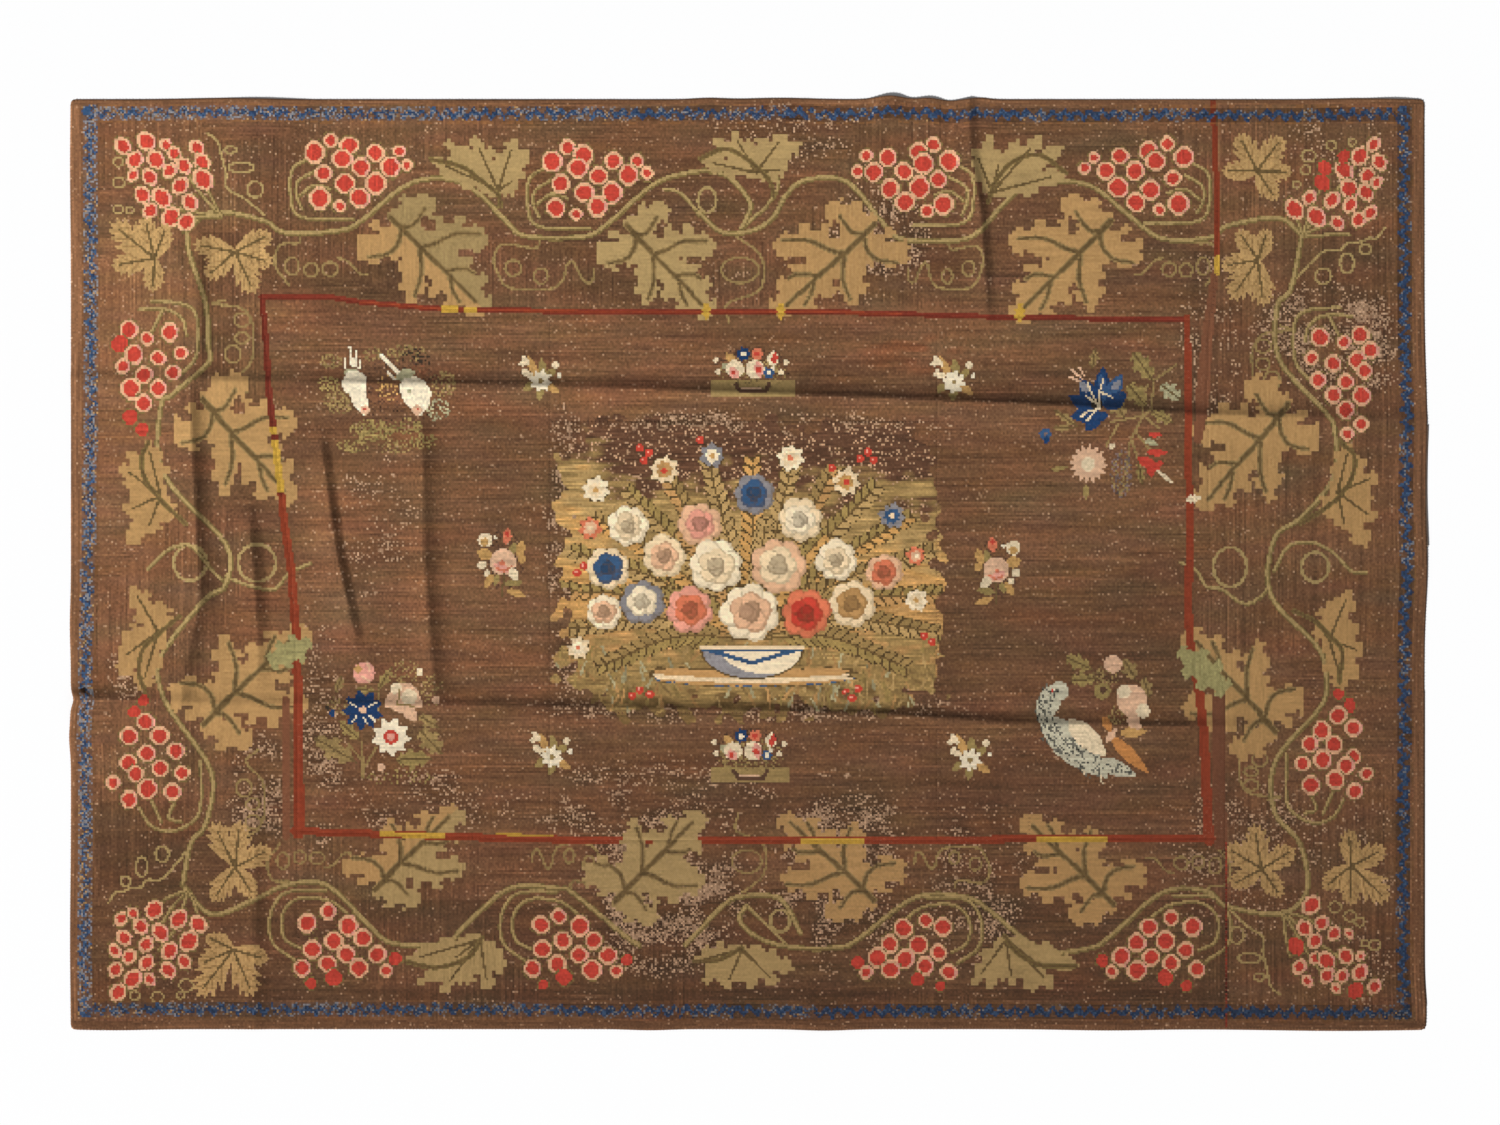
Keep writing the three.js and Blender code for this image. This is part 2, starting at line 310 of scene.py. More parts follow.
# The ground
ground = {
    "streak": 0.125,
    "blotch": 0.055,
    "single": 0.15,
    "patches": 120,
    "patchStrength": 0.062,
    "speckShare": 0.028,
    "wornDark": 0.36,
    # painted shade behind the crests of the creases
    "creaseShade": 0.3,
    "lightFallX": -0.17,  # painted light: the wool is made paler towards the left and the upper end and darker towards the right and the lower end, as the light falls off
    "lightFallY": 0.19,
    "lowerWarmth": (0.0, 0.05, 0.07),  # how much less green and blue there is at the lower end
    # Worn places: corners of a region, share of bare stitches, direction of the threads that show
    "worn": [
        (590, 805, 735, 966, 0.44, "mixed"), (770, 780, 905, 962, 0.3, "mixed"),
        (925, 812, 1030, 960, 0.2, "mixed"), (1256, 290, 1402, 396, 0.42, "mixed"),
        (530, 764, 770, 838, 0.2, "across"), (820, 190, 925, 300, 0.24, "down"),
        (1180, 780, 1320, 925, 0.22, "mixed"), (296, 640, 345, 836, 0.2, "across"),
        (300, 770, 545, 832, 0.14, "across"), (230, 740, 292, 850, 0.26, "mixed"),
        (555, 420, 600, 560, 0.34, "down"), (550, 696, 900, 722, 0.24, "across"),
        (640, 812, 710, 905, 0.3, "mixed"), (900, 205, 930, 262, 0.3, "down"),
        (330, 460, 420, 600, 0.1, "across"), (100, 640, 190, 700, 0.12, "across"),
        (700, 100, 860, 160, 0.12, "down"), (1180, 240, 1240, 420, 0.14, "down"),
        (1330, 800, 1400, 1000, 0.1, "down"), (545, 412, 940, 450, 0.24, "mixed"),
        (545, 420, 590, 700, 0.26, "down"), (545, 694, 945, 722, 0.26, "across"),
        (1290, 96, 1400, 200, 0.1, "mixed"),
    ],
    # Darker and paler patches of the ground: corners and strength. The paler strip down the left border, (98,
    # 240, 165, 700), is painted light, where swells there face the lamp
    "shades": [
        (100, 800, 184, 886, -0.2), (203, 232, 240, 372, -0.28), (360, 262, 470, 300, -0.1),
        (620, 140, 700, 200, -0.1), (545, 180, 660, 300, -0.1), (850, 140, 960, 300, -0.08),
        (298, 470, 345, 690, 0.1), (560, 320, 930, 352, 0.06), (340, 470, 480, 640, 0.09),
        (1195, 240, 1240, 500, -0.06), (500, 350, 560, 384, -0.2), (800, 360, 1100, 384, -0.12),
        (545, 725, 940, 775, -0.1), (940, 690, 1190, 838, -0.06), (620, 775, 1000, 838, -0.14),
        (250, 990, 1230, 1004, -0.24), (255, 900, 1230, 1000, -0.26), (75, 700, 150, 780, 0.24),
        (240, 125, 1200, 300, -0.1), (75, 830, 255, 1004, -0.22), (1230, 930, 1400, 1004, -0.08),
        (940, 560, 1190, 690, -0.1), (1320, 228, 1400, 300, -0.2), (920, 300, 1190, 345, 0.05),
        (98, 240, 165, 700, 0.19), (1130, 840, 1400, 1004, -0.06), (1227, 240, 1390, 640, -0.05),
        (105, 120, 250, 130, 0.08),
    ],
    # A reddish stain: middle, half width, half height, strength and its colour
    "stain": (915, 352, 62, 26, 0.75),
    "stainColour": (1.28, 0.86, 0.74),
}


def layGround():
    fine = np.where(isDown, softNoise(1, 14, 21), softNoise(14, 1, 22))
    long = np.where(isDown, softNoise(1, 40, 23), softNoise(40, 1, 20))
    tone = ground["streak"] * (0.75 * long + 0.75 * fine) + ground["blotch"] * softNoise(44, 30, 24)
    tone += 0.05 * softNoise(9, 2, 26) + ground["single"] * jitter
    random = np.random.default_rng(31)
    for _ in range(ground["patches"]):
        u, v = random.uniform(75, 1400), random.uniform(100, 1010)
        wide, high = random.uniform(20, 150), random.uniform(8, 60)
        tone[around([(u, v), (u + wide, v + high)], 0)] += random.normal(0, ground["patchStrength"])
    for *corners, strength in ground["shades"]:
        tone[around(corners, 0)] += strength
    chart["wool"][:] = wools["brown"] * np.exp(tone)[:, :, None]
    chart["wool"][:, :, 0] *= 1 + 0.05 * softNoise(20, 6, 27)  # some of the dye lots are redder
    chart["wool"][:, :, 2] *= 1 + 0.04 * softNoise(14, 4, 19)


def wearGround():
    # Bare canvas shows in specks, thickest in the worn places
    dashes = {"across": softNoise(4, 1, 41), "down": softNoise(1, 4, 42), "mixed": softNoise(2, 1, 43)}
    share = np.full((rows, columns), ground["speckShare"])
    pattern = softNoise(2, 1, 44)
    soft = softNoise(9, 7, 45)
    for left, top, right, bottom, strength, way in ground["worn"]:
        away = np.hypot((stitchU - (left + right) / 2) / ((right - left) / 2),
                        (stitchV - (top + bottom) / 2) / ((bottom - top) / 2))
        here = np.clip((1.25 - away) / 0.5, 0, 1) * strength * np.clip(1 + 0.7 * soft, 0, 2.4)
        share = np.maximum(share, here)
        pattern = np.where(here > ground["speckShare"], dashes[way], pattern)
    rank = 0.6 * pattern + jitter
    order = rank.ravel().argsort().argsort().reshape(rank.shape) / rank.size
    bare = order > 1 - share
    # What wool is left between the specks is darker
    chart["wool"] *= (1 - ground["wornDark"] * np.clip((share - ground["speckShare"]) * 3, 0, 1))[:, :, None]
    strength = np.random.default_rng(46).uniform(0.2, 0.95, bare.sum())
    strength *= np.where(share[bare] > 0.05, 1, 0.66)
    pale = wools["canvas"] * np.random.default_rng(47).uniform(0.6, 1.15, bare.sum())[:, None]
    chart["wool"][bare] = chart["wool"][bare] * (1 - strength)[:, None] + pale * strength[:, None]
    chart["worn"] = np.clip(0.16 + share * 2.2, 0, 1)


def stainGround():
    centreU, centreV, wide, high, strength = ground["stain"]
    away = ((stitchU - centreU) / wide) ** 2 + ((stitchV - centreV) / high) ** 2
    amount = np.clip(1 - away, 0, 1) * strength * (0.5 + 0.5 * np.clip(softNoise(8, 3, 51), -1, 1))
    chart["wool"] *= 1 + np.clip(amount, 0, 1)[:, :, None] * (np.array(ground["stainColour"]) - 1)


# The vine: turning points of its main stem, the second stems that carry the grapes, and tendrils
vine = {
    "stem": 3.1,
    "shade": 5.4,
    "main": [
        [186, 230, 213, 211, 264, 220, 285, 232, 338, 230, 361, 220, 412, 181, 463, 182, 504, 218,
         524, 235, 581, 236, 606, 224, 652, 184, 685, 172, 711, 170, 731, 178, 746, 195, 750, 207,
         741, 228],
        [698, 212, 723, 232, 754, 229, 774, 215, 785, 195, 805, 179, 846, 180, 879, 218, 900, 238,
         948, 240, 976, 233, 1004, 202, 1030, 184, 1086, 183, 1129, 215, 1162, 238, 1209, 237, 1227, 225,
         1279, 217, 1302, 235],
        [1302, 235, 1291, 288, 1277, 306, 1279, 359, 1321, 407, 1334, 429, 1334, 476, 1301, 517,
         1274, 538, 1270, 594, 1315, 643, 1325, 666, 1323, 703, 1276, 759, 1274, 810, 1300, 843,
         1307, 890, 1281, 913, 1227, 906, 1207, 891, 1162, 892, 1111, 935, 1088, 948, 1040, 949,
         989, 910, 966, 897, 915, 897, 859, 938, 838, 947, 792, 947, 759, 938, 739, 920, 746, 905],
        [685, 945, 723, 905, 741, 896, 774, 896, 787, 907, 800, 933],
        [639, 945, 624, 935, 573, 893, 558, 888, 509, 888, 463, 927, 445, 943, 392, 943, 366, 922,
         325, 884, 285, 885, 254, 899, 211, 914, 182, 884],
        [182, 884, 190, 843, 205, 823, 211, 772, 172, 713, 160, 690, 160, 656, 205, 599, 225, 584,
         225, 543, 162, 472, 160, 406, 172, 394, 207, 363, 208, 345, 205, 302, 189, 253, 186, 230],
    ],
    # Curls off the stem, drawn for one place and worked again, mirrored, at the others:
    # lines and rings (centre, half width, half height)
    "curl": {
        "lines": [
            [0, 0, -5, 10, -36, 6, -46, 18, -43, 34, -30, 50, 8, 51, 22, 43, 27, 27, 34, 25, 44, 43,
             52, 43, 54, 31],
        ],
        "rings": [(-27, 30, 8, 8), (1, 38, 7, 8)],
    },
    "coil": {
        "lines": [[0, 0, -2, 5, -20, 7, -25, 27, -11, 47], [38, 20, 47, 23, 60, 36, 68, 36]],
        "rings": [(-8, 28, 7, 9), (11, 32, 7, 7), (30, 31, 8, 7)],
    },
    "spray": {
        "lines": [[0, 0, -21, -17, -39, -28, -39, -42, -44, -61, -48, -75, -58, -83]],
        "rings": [(-24, -48, 13, 5), (-10, -26, 8, 8), (-35, -66, 6, 3.5)],
    },
    "twig": {
        "lines": [
            [0, 0, 12, -13, 26, -27, 37, -35, 51, -35, 59, -42, 71, -43, 80, -47, 88, -47, 97, -58],
        ],
        "rings": [(34, -9, 8, 8), (58, -22, 7, 10), (77, -36, 6, 5)],
    },
    "hook": {
        "lines": [[0, 0, 25, 18, 30, 39, 23, 57, -7, 69, -5, 88]],
        "rings": [(6, 35, 19, 13)],
    },
    "wisp": {
        "lines": [[0, 0, -12, 4, 16, 8, 27, 22, 28, 40, 26, 62, 10, 80, 22, 92]],
        "rings": [(17, 20, 8, 7), (17, 38, 7, 6), (8, 54, 8, 9)],
    },
    # Where each goes: name, place, and the size and direction of its two axes
    "places": [
        ("curl", 540, 238, 1, 1), ("curl", 948, 240, -0.75, 0.95), ("curl", 570, 890, -0.7, -0.9),
        ("curl", 955, 888, -0.75, -0.8), ("coil", 300, 238, 1, 1), ("coil", 1196, 238, -0.9, 1),
        ("coil", 290, 886, 0.9, -0.9), ("coil", 1208, 891, -0.9, -0.9), ("spray", 265, 215, 1, 1),
        ("twig", 1290, 285, 1, 1), ("twig", 191, 845, -0.86, -1), ("spray", 1228, 908, -0.9, -1.05),
        ("hook", 734, 235, 1, 1), ("hook", 742, 893, 0.8, -0.9), ("wisp", 225, 300, 1, 1),
        ("wisp", 1280, 326, -1, 1), ("wisp", 236, 842, 1, -1), ("wisp", 1268, 800, -1, -0.75),
    ],
    "bigRings": [
        (190, 563, 17, 18), (257, 563, 19, 19), (1230, 567, 17, 20), (1315, 567, 14, 15),
        (707, 200, 9, 13), (780, 921, 10, 11),
    ],
    "tails": [
        [222, 580, 210, 568, 192, 546, 176, 546, 164, 552, 147, 569],
        [225, 576, 243, 583, 262, 588, 275, 588, 290, 572, 310, 563],
        [1268, 588, 1254, 601, 1240, 602, 1222, 589, 1206, 586, 1196, 570, 1180, 562],
        [1274, 570, 1288, 546, 1312, 542, 1334, 553, 1350, 570, 1366, 572],
        [741, 228, 768, 203, 778, 182, 768, 160, 742, 142], [746, 905, 772, 930, 790, 948],
        [698, 212, 680, 192, 664, 188],
    ],
}


def ring(centre, wide, high, thick, colour):
    angles = np.linspace(0, 2 * math.pi, 15)
    stroke([(centre[0] + wide * math.cos(a), centre[1] + high * math.sin(a)) for a in angles], thick, colour)


def twoTone(points, thick, shade):
    points = curve(points)
    stroke(points + [0.5, 0.8], shade, wools["vineDark"], 0.1)
    stroke(points, thick, wools["vineLight"], 0.09)


def workVine():
    for name, placeU, placeV, scaleU, scaleV in vine["places"]:
        colour = wools["vineLight" if name in ("spray", "twig") else "olive"]
        for line in vine[name]["lines"]:
            line = np.reshape(line, (-1, 2)) * [scaleU, scaleV] + [placeU, placeV]
            stroke(curve(line), 2.5, colour, 0.12)
        for u, v, wide, high in vine[name]["rings"]:
            centre = (placeU + u * scaleU, placeV + v * scaleV)
            ring(centre, wide * abs(scaleU), high * abs(scaleV), 2.3, colour)
    for u, v, wide, high in vine["bigRings"]:
        ring((u, v), wide, high, 3.0, wools["vineLight"])
    for line in vine["tails"]:
        twoTone(line, 2.5, 3.6)
    for line in vine["main"]:
        twoTone(line, vine["stem"], vine["shade"])


# Bunches of grapes, each drawn once round its own middle: place and radius of every grape, the
# radius negative where it has no rim
grapes = {
    "rim": 2.7,
    "size": {"upper": 1.12, "lower": 1.1, "upperSide": 1.1, "lowerSide": 1.08},
    "upper": {
        "grapes": [
            -45, -20, 9, -30, -34, 7, -13, -27, 9, -19, -15, 9.5, 16, -21, 8, 40, -22, 6, 49, -8, 6,
            -36, 1, 8, 1, -6, 8.5, 31, -6, 8.5, -14, 11, 9.5, 16, 10, 9, -41, 26, 9.5, 0, 25, 9,
            -22, 33, 6,
        ],
        "stems": [
            [-54, -14, -68, -4, -70, 20, -60, 44, -7, 47], [-46, -2, -62, 8, -64, 22, -58, 36],
            [-30, 16, -46, 12, -60, 22],
        ],
    },
    "lower": {
        "grapes": [
            -38, -24, 9, -19, -34, 7.5, 3, -23, 9, -13, -8, 8.5, 16, -8, 8.5, -34, 1, 8.5, 2, 7, 8.5,
            31, 7, 8.5, -44, 21, 8, -19, 16, 8.5, -13, 29, -7, 15, 21, 9, 40, 22, 6, 49, 12, -5.5,
            -34, 37, -5,
        ],
        "stems": [
            [-52, 12, -74, -6, -76, -34, -60, -56, -20, -58],
            [-46, 0, -62, -10, -64, -34, -48, -50, -18, -48, 0, -36],
        ],
    },
    "upperSide": {
        "grapes": [
            -16, -46, 8.5, 1, -38, 6.5, 24, -43, 8.5, -27, -30, -8, -13, -20, 9, 34, -23, 7, -22, -10, 7,
            11, -17, 8, -1, 0, 8, 26, -1, 7.5, -17, 14, 9, 12, 15, 8, -2, 29, 8, -15, 43, -6.5,
            -3, 54, -6,
        ],
        "stems": [
            [4, -74, 34, -72, 50, -60, 50, -20, 32, 2], [-8, -66, 20, -66, 36, -56, 40, -40],
            [2, -38, 16, -66],
        ],
    },
    "lowerSide": {
        "grapes": [
            -3, -55, -5, -14, -44, -5.5, -1, -33, 8.5, -17, -18, 8.5, 14, -18, 8.5, 0, -3, 8.5,
            30, -4, 8.5, -19, 8, 8, -11, 19, 8, 14, 12, 8.5, 36, 17, 7.5, -32, 27, 7, 1, 33, 9,
            26, 37, 8, -19, 44, 8,
        ],
        "stems": [
            [-8, 52, 4, 70, 24, 76, 46, 66, 54, 50, 54, 6], [4, 44, 14, 66], [28, 46, 22, 62, 34, 66],
        ],
    },
    # The four at the corners, in the photograph's pixels
    "cornerA": {
        "grapes": [
            122, 145, 7.5, 145, 142, 9, 166, 144, 6.5, 196, 147, 7, 134, 159, 8.5, 157, 157, 8,
            174, 154, 7.5, 201, 162, 8, 184, 165, 7.5, 133, 175, 6, 150, 175, 8, 169, 172, 7.5,
            202, 180, 9.5, 178, 185, 8, 142, 195, 8.5, 162, 197, 9, 190, 202, 8.5, 150, 212, 7.5,
            170, 217, 9.5, 187, 222, 8,
        ],
        "stems": [
            [221, 216, 198, 190, 184, 168], [221, 216, 207, 188, 199, 166],
            [221, 216, 188, 210, 160, 202], [218, 216, 200, 216, 188, 220],
        ],
        "curls": [(118, 161, 5), (118, 182, 6), (118, 209, 5), (129, 210, 4)],
    },
    "cornerB": {
        "grapes": [
            1295, 208, 9, 1310, 197, 7.5, 1317, 215, 9, 1324, 182, -7.5, 1332, 199, 8, 1338, 222, 7.5,
            1325, 166, -6.5, 1345, 169, 8.5, 1344, 154, -6, 1362, 154, 9, 1350, 188, 9, 1351, 205, 7.5,
            1368, 175, 7.5, 1368, 192, 7.5, 1360, 219, 7.5, 1373, 212, 7, 1378, 183, 5.5, 1381, 162, 7.5,
            1376, 142, 7,
        ],
        "stems": [
            [1303, 234, 1298, 220, 1295, 208], [1303, 234, 1318, 216, 1340, 186, 1360, 160],
            [1303, 234, 1322, 226, 1340, 220], [1303, 234, 1312, 206, 1324, 182],
            [1306, 236, 1330, 234, 1350, 234],
        ],
        "curls": [(1309, 155, 7), (1306, 169, 5), (1332, 144, 5), (1353, 141, 4), (1297, 184, 4)],
    },
    "cornerC": {
        "grapes": [
            121, 918, 6, 135, 913, 6.5, 154, 911, 8.5, 179, 920, 8.5, 200, 925, 8, 140, 928, 7.5,
            160, 933, 8.5, 125, 938, 7.5, 144, 946, 7.5, 189, 942, 9.5, 114, 950, 6.5, 169, 951, 8,
            129, 957, 8, 184, 963, 7, 147, 963, 7.5, 114, 970, 8, 169, 971, 7.5, 132, 979, 8,
            150, 980, 6.5, 117, 991, 8,
        ],
        "stems": [
            [188, 891, 194, 904, 199, 920], [187, 892, 183, 904, 180, 914],
            [186, 892, 172, 906, 160, 926], [186, 890, 168, 897, 154, 906],
            [187, 892, 176, 926, 158, 950],
        ],
        "curls": [(134, 996, 5), (157, 998, 6), (186, 986, 7), (180, 996, 4)],
    },
    "cornerD": {
        "grapes": [
            1311, 906, 9, 1322, 921, 7.5, 1302, 927, 8, 1297, 946, -7.5, 1301, 966, 7, 1308, 980, 6,
            1315, 959, 6.5, 1319, 942, 8, 1334, 934, 7, 1350, 935, 5, 1329, 961, 8.5, 1347, 956, 8,
            1363, 956, 5, 1328, 976, 7, 1344, 976, 7, 1337, 987, 5, 1362, 972, 8, 1356, 990, -7.5,
            1376, 986, 7,
        ],
        "stems": [
            [1283, 911, 1304, 930, 1330, 950, 1348, 962], [1283, 911, 1285, 932, 1290, 956],
            [1283, 911, 1298, 936, 1314, 962, 1330, 980], [1283, 911, 1304, 917, 1320, 926],
        ],
        "curls": [(1336, 907, 6), (1351, 916, 6), (1361, 922, 5), (1376, 945, 6), (1366, 943, 4)],
    },
    # Which goes where, with the size and direction of its two axes, and whether all have rims
    "places": [
        ("upper", 360, 172, 1, 1), ("upper", 597, 181, 1, 1), ("upper", 905, 178, -0.97, 1),
        ("upper", 1136, 176, -1.05, 1), ("lower", 346, 948, 1, 1), ("lower", 577, 949, 1, 1),
        ("lower", 906, 952, -0.98, 0.95), ("lower", 1152, 950, -1.02, 0.95),
        ("upperSide", 146, 375, 1, 1), ("upperSide", 1345, 381, -1, 1, True),
        ("lowerSide", 146, 755, 1, 1), ("lowerSide", 1337, 748, -0.94, 0.98), ("cornerA", 0, 0, 1, 1),
        ("cornerB", 0, 0, 1, 1), ("cornerC", 0, 0, 1, 1), ("cornerD", 0, 0, 1, 1),
    ],
}


def workGrape(centre, radius, rimmed, squash, lean, pinkFrom):
    window = around([centre], radius * 1.2 + 3)
    offU, offV = stitchU[window] - centre[0], stitchV[window] - centre[1]
    u = np.abs(offU * math.cos(lean) + offV * math.sin(lean))
    v = np.abs(offV * math.cos(lean) - offU * math.sin(lean)) / squash
    away = np.maximum(np.maximum(u, v), (u + v) / 1.36)  # a square with cut corners
    paint(window, (away < radius + 1.7) & (speckle[window] < 0.5), wools["vineDark"], 0.1)
    if rimmed:
        paint(window, away < radius, wools["ring"], 0.1)
        isPink = (away < radius) & (offU > radius * pinkFrom) & (speckle[window] > 0.3)
        paint(window, isPink, wools["pink"], 0.1)
        radius -= grapes["rim"]
    paint(window, away < radius, wools["coral"], 0.1)


def workBunches():
    random = np.random.default_rng(61)
    for name, placeU, placeV, scaleU, scaleV, *allRimmed in grapes["places"]:
        isCorner = name.startswith("corner")
        for line in grapes[name]["stems"]:
            twoTone(np.reshape(line, (-1, 2)) * [scaleU, scaleV] + [placeU, placeV], 2.2, 3.6)
        for u, v, radius in grapes[name].get("curls", []):
            ring((u, v), radius, radius * 0.9, 1.9, wools["vineLight"])
        for u, v, radius in np.reshape(grapes[name]["grapes"], (-1, 3)):
            rimmed = allRimmed or radius > 0
            shake = random.normal(0, 0.8, 2)
            centre = (placeU + u * scaleU + shake[0], placeV + v * scaleV + shake[1])
            radius = abs(radius) * grapes["size"].get(name, 0.99) + random.normal(0, 0.35)
            lean = random.choice([0.6, -0.6]) if isCorner else 0.0
            oval = random.uniform(0.94, 1.12) + 0.2 * isCorner
            workGrape(centre, radius, rimmed, oval, lean, random.choice([0.4, 0.6, 2.0]))


# The large leaves, drawn for one whose stem is at (0, 0) and whose tip points down and right
leaf = {
    "lobes": [  # start, tip, half width, teeth, shift of the teeth
        (-2, -2, 38, -22, 13, 2.5, 0.1), (14, 14, 84, 17, 17, 3.5, 0.2), (22, 22, 81, 84, 20, 4, 0.4),
        (20, 22, 15, 76, 12, 3, 0.1), (8, 8, -31, 33, 16, 2.5, 0.3), (0, 4, 40, 44, 18, 0, 0.0),
    ],
    "veins": [  # width at its start, line
        (5.2, (-3, -4), (22, 24), (50, 52), (72, 76)), (3.6, (4, 5), (16, 4), (27, -12)),
        (4.0, (23, 25), (36, 21), (54, 12), (76, 12)), (3.6, (23, 28), (24, 50), (18, 70)),
        (3.6, (6, 10), (3, 22), (-6, 31), (-22, 34)), (3.0, (44, 47), (62, 45), (70, 49)),
        (3.0, (49, 54), (52, 66), (57, 76)),
    ],
    # Small blocks of ground worked into it: corners
    "gaps": [(27, -2, 35, 8), (56, 28, 70, 35), (27, 62, 31, 76), (-22, 9, -12, 14)],
    "overBand": 5,  # the leaf that hides part of the red band
    "tips": [  # the ends of leaves worked over the band: start, tip, half width, wool
        (270, 662, 310, 642, 13, "green"), (1226, 690, 1180, 650, 15, "green"),
        (706, 304, 707, 319, 4, "yellow"), (781, 304, 780, 319, 4, "yellow"),
        (1020, 304, 1019, 322, 4.5, "yellow"), (1200, 498, 1186, 499, 4, "cream"),
    ],
    # Stem, size and direction of the two axes, turn in degrees, wool left and right of the vein
    "places": [
        ((394, 221), 1.14, 1.06, 0, "tan", "deepSage"), ((630, 229), 1.0, 1.0, 0, "sage", "sage"),
        ((871, 228), -1.17, 1.02, 0, "tan", "tan"), ((1107, 225), -1.16, 1.1, 0, "tan", "tan"),
        ((378, 886), 1.06, -0.86, 4, "tan", "sage"), ((618, 898), 1.03, -1.0, 0, "sage", "sage"),
        ((870, 896), -1.1, -0.96, 0, "tan", "tan"), ((1110, 900), -1.08, -0.98, 0, "tan", "tan"),
        ((206, 404), 1.08, 1.14, 0, "tan", "tan"), ((207, 720), 1.2, -1.1, 0, "tan", "tan"),
        ((1285, 409), -1.06, 1.18, 0, "tan", "tan"), ((1272, 727), -1.05, -1.12, 0, "tan", "tan"),
    ],
}


def workLeaf(stem, scaleU, scaleV, turn, leftWool, rightWool, number):
    random = np.random.default_rng(70 + number)
    window = around([stem], 118)
    cosine, sine = math.cos(math.radians(turn)), math.sin(math.radians(turn))

    def local(u, v):
        u, v = (u - stem[0]) / scaleU, (v - stem[1]) / scaleV
        return u * cosine + v * sine, v * cosine - u * sine

    u, v = local(blockU[window], blockV[window])
    inside = np.zeros(u.shape, bool)
    for baseU, baseV, tipU, tipV, half, teeth, phase in leaf["lobes"]:
        half *= random.uniform(0.94, 1.08)
        tip = np.array([tipU, tipV]) + random.normal(0, 1.5, 2)
        phase += random.uniform(-0.1, 0.1)
        inside |= lobeMask(u, v, (baseU, baseV), tip, half, "lobe", teeth, phase)
    for left, top, right, bottom in [] if number == leaf["overBand"] else leaf["gaps"]:
        inside &= ~((u > left) & (u < right) & (v > top) & (v < bottom))
    exactU, exactV = local(stitchU[window], stitchV[window])
    leftSide = exactV > exactU * 1.05
    paint(window, inside & leftSide, wools[leftWool] * random.uniform(0.96, 1.04), 0.06)
    paint(window, inside & ~leftSide, wools[rightWool] * random.uniform(0.96, 1.04), 0.06)
    for wider, colour in ((2.6, wools["vein"] * 0.45 + wools["sage"] * 0.5), (0, wools["vein"])):
        for thick, *points in leaf["veins"]:  # a greener edge, then the vein itself
            u, v = curve(points, 3).T
            line = np.stack([u * cosine - v * sine, u * sine + v * cosine], 1) * [scaleU, scaleV] + stem
            taper = np.linspace(thick, max(thick * 0.5, 2.1), len(line)) * 0.9
            stroke(line, taper + wider, colour, 0.12)


# Leaves with pointed lobes near the corners: middle, then the tips of the lobes
cornerLeaf = {
    "half": 11,
    # The small points at both sides of each lobe: place along it, turn in radians, share of its length
    "points": [(0.32, 0.7, 0.48), (0.54, 0.65, 0.38), (0.72, 0.55, 0.26)],
    "places": [
        [154, 258, 109, 222, 144, 216, 167, 223, 110, 266, 152, 293],
        [235, 252, 193, 244, 272, 233, 273, 263, 255, 294, 205, 278],
        [1257, 170, 1238, 131, 1284, 134, 1293, 171, 1277, 200, 1222, 170],
        [1258, 260, 1238, 229, 1268, 228, 1221, 266, 1230, 300, 1264, 307],
        [235, 867, 212, 822, 240, 820, 272, 848, 212, 902, 255, 898],
        [233, 950, 197, 966, 205, 936, 196, 998, 254, 998, 269, 960],
        [1262, 869, 1254, 824, 1224, 846, 1296, 848, 1230, 886, 1282, 898],
        [1352, 866, 1350, 829, 1388, 848, 1391, 902, 1352, 906, 1323, 889],
    ],
}


def workCornerLeaves():
    half = cornerLeaf["half"]
    vein = wools["vein"] * 0.4 + wools["tan"] * 0.6
    for centre, *tips in np.reshape(cornerLeaf["places"], (-1, 6, 2)) * 1.0:
        for i, tip in enumerate(tips):
            stepU, stepV = tip - centre
            colour = (wools["tan"] * 0.6 + wools["sage"] * 0.4) * (1.08 + 0.05 * (i % 3 - 1))
            petal(centre, tip, half, colour, 0.09, form="pointed")
            for share, lean, size in cornerLeaf["points"]:
                start = centre + (tip - centre) * share
                for turn in (lean, -lean):
                    side = np.array([stepU * math.cos(turn) - stepV * math.sin(turn),
                                     stepU * math.sin(turn) + stepV * math.cos(turn)])
                    petal(start, start + side * size, half * 0.4, colour, 0.09, form="pointed")
                    stroke([start, start + side * size * 0.6], 1.9, vein, 0.1)
        for tip in tips:
            stroke([centre, centre + (tip - centre) * 0.8], [3.0, 1.9], wools["vein"], 0.12)


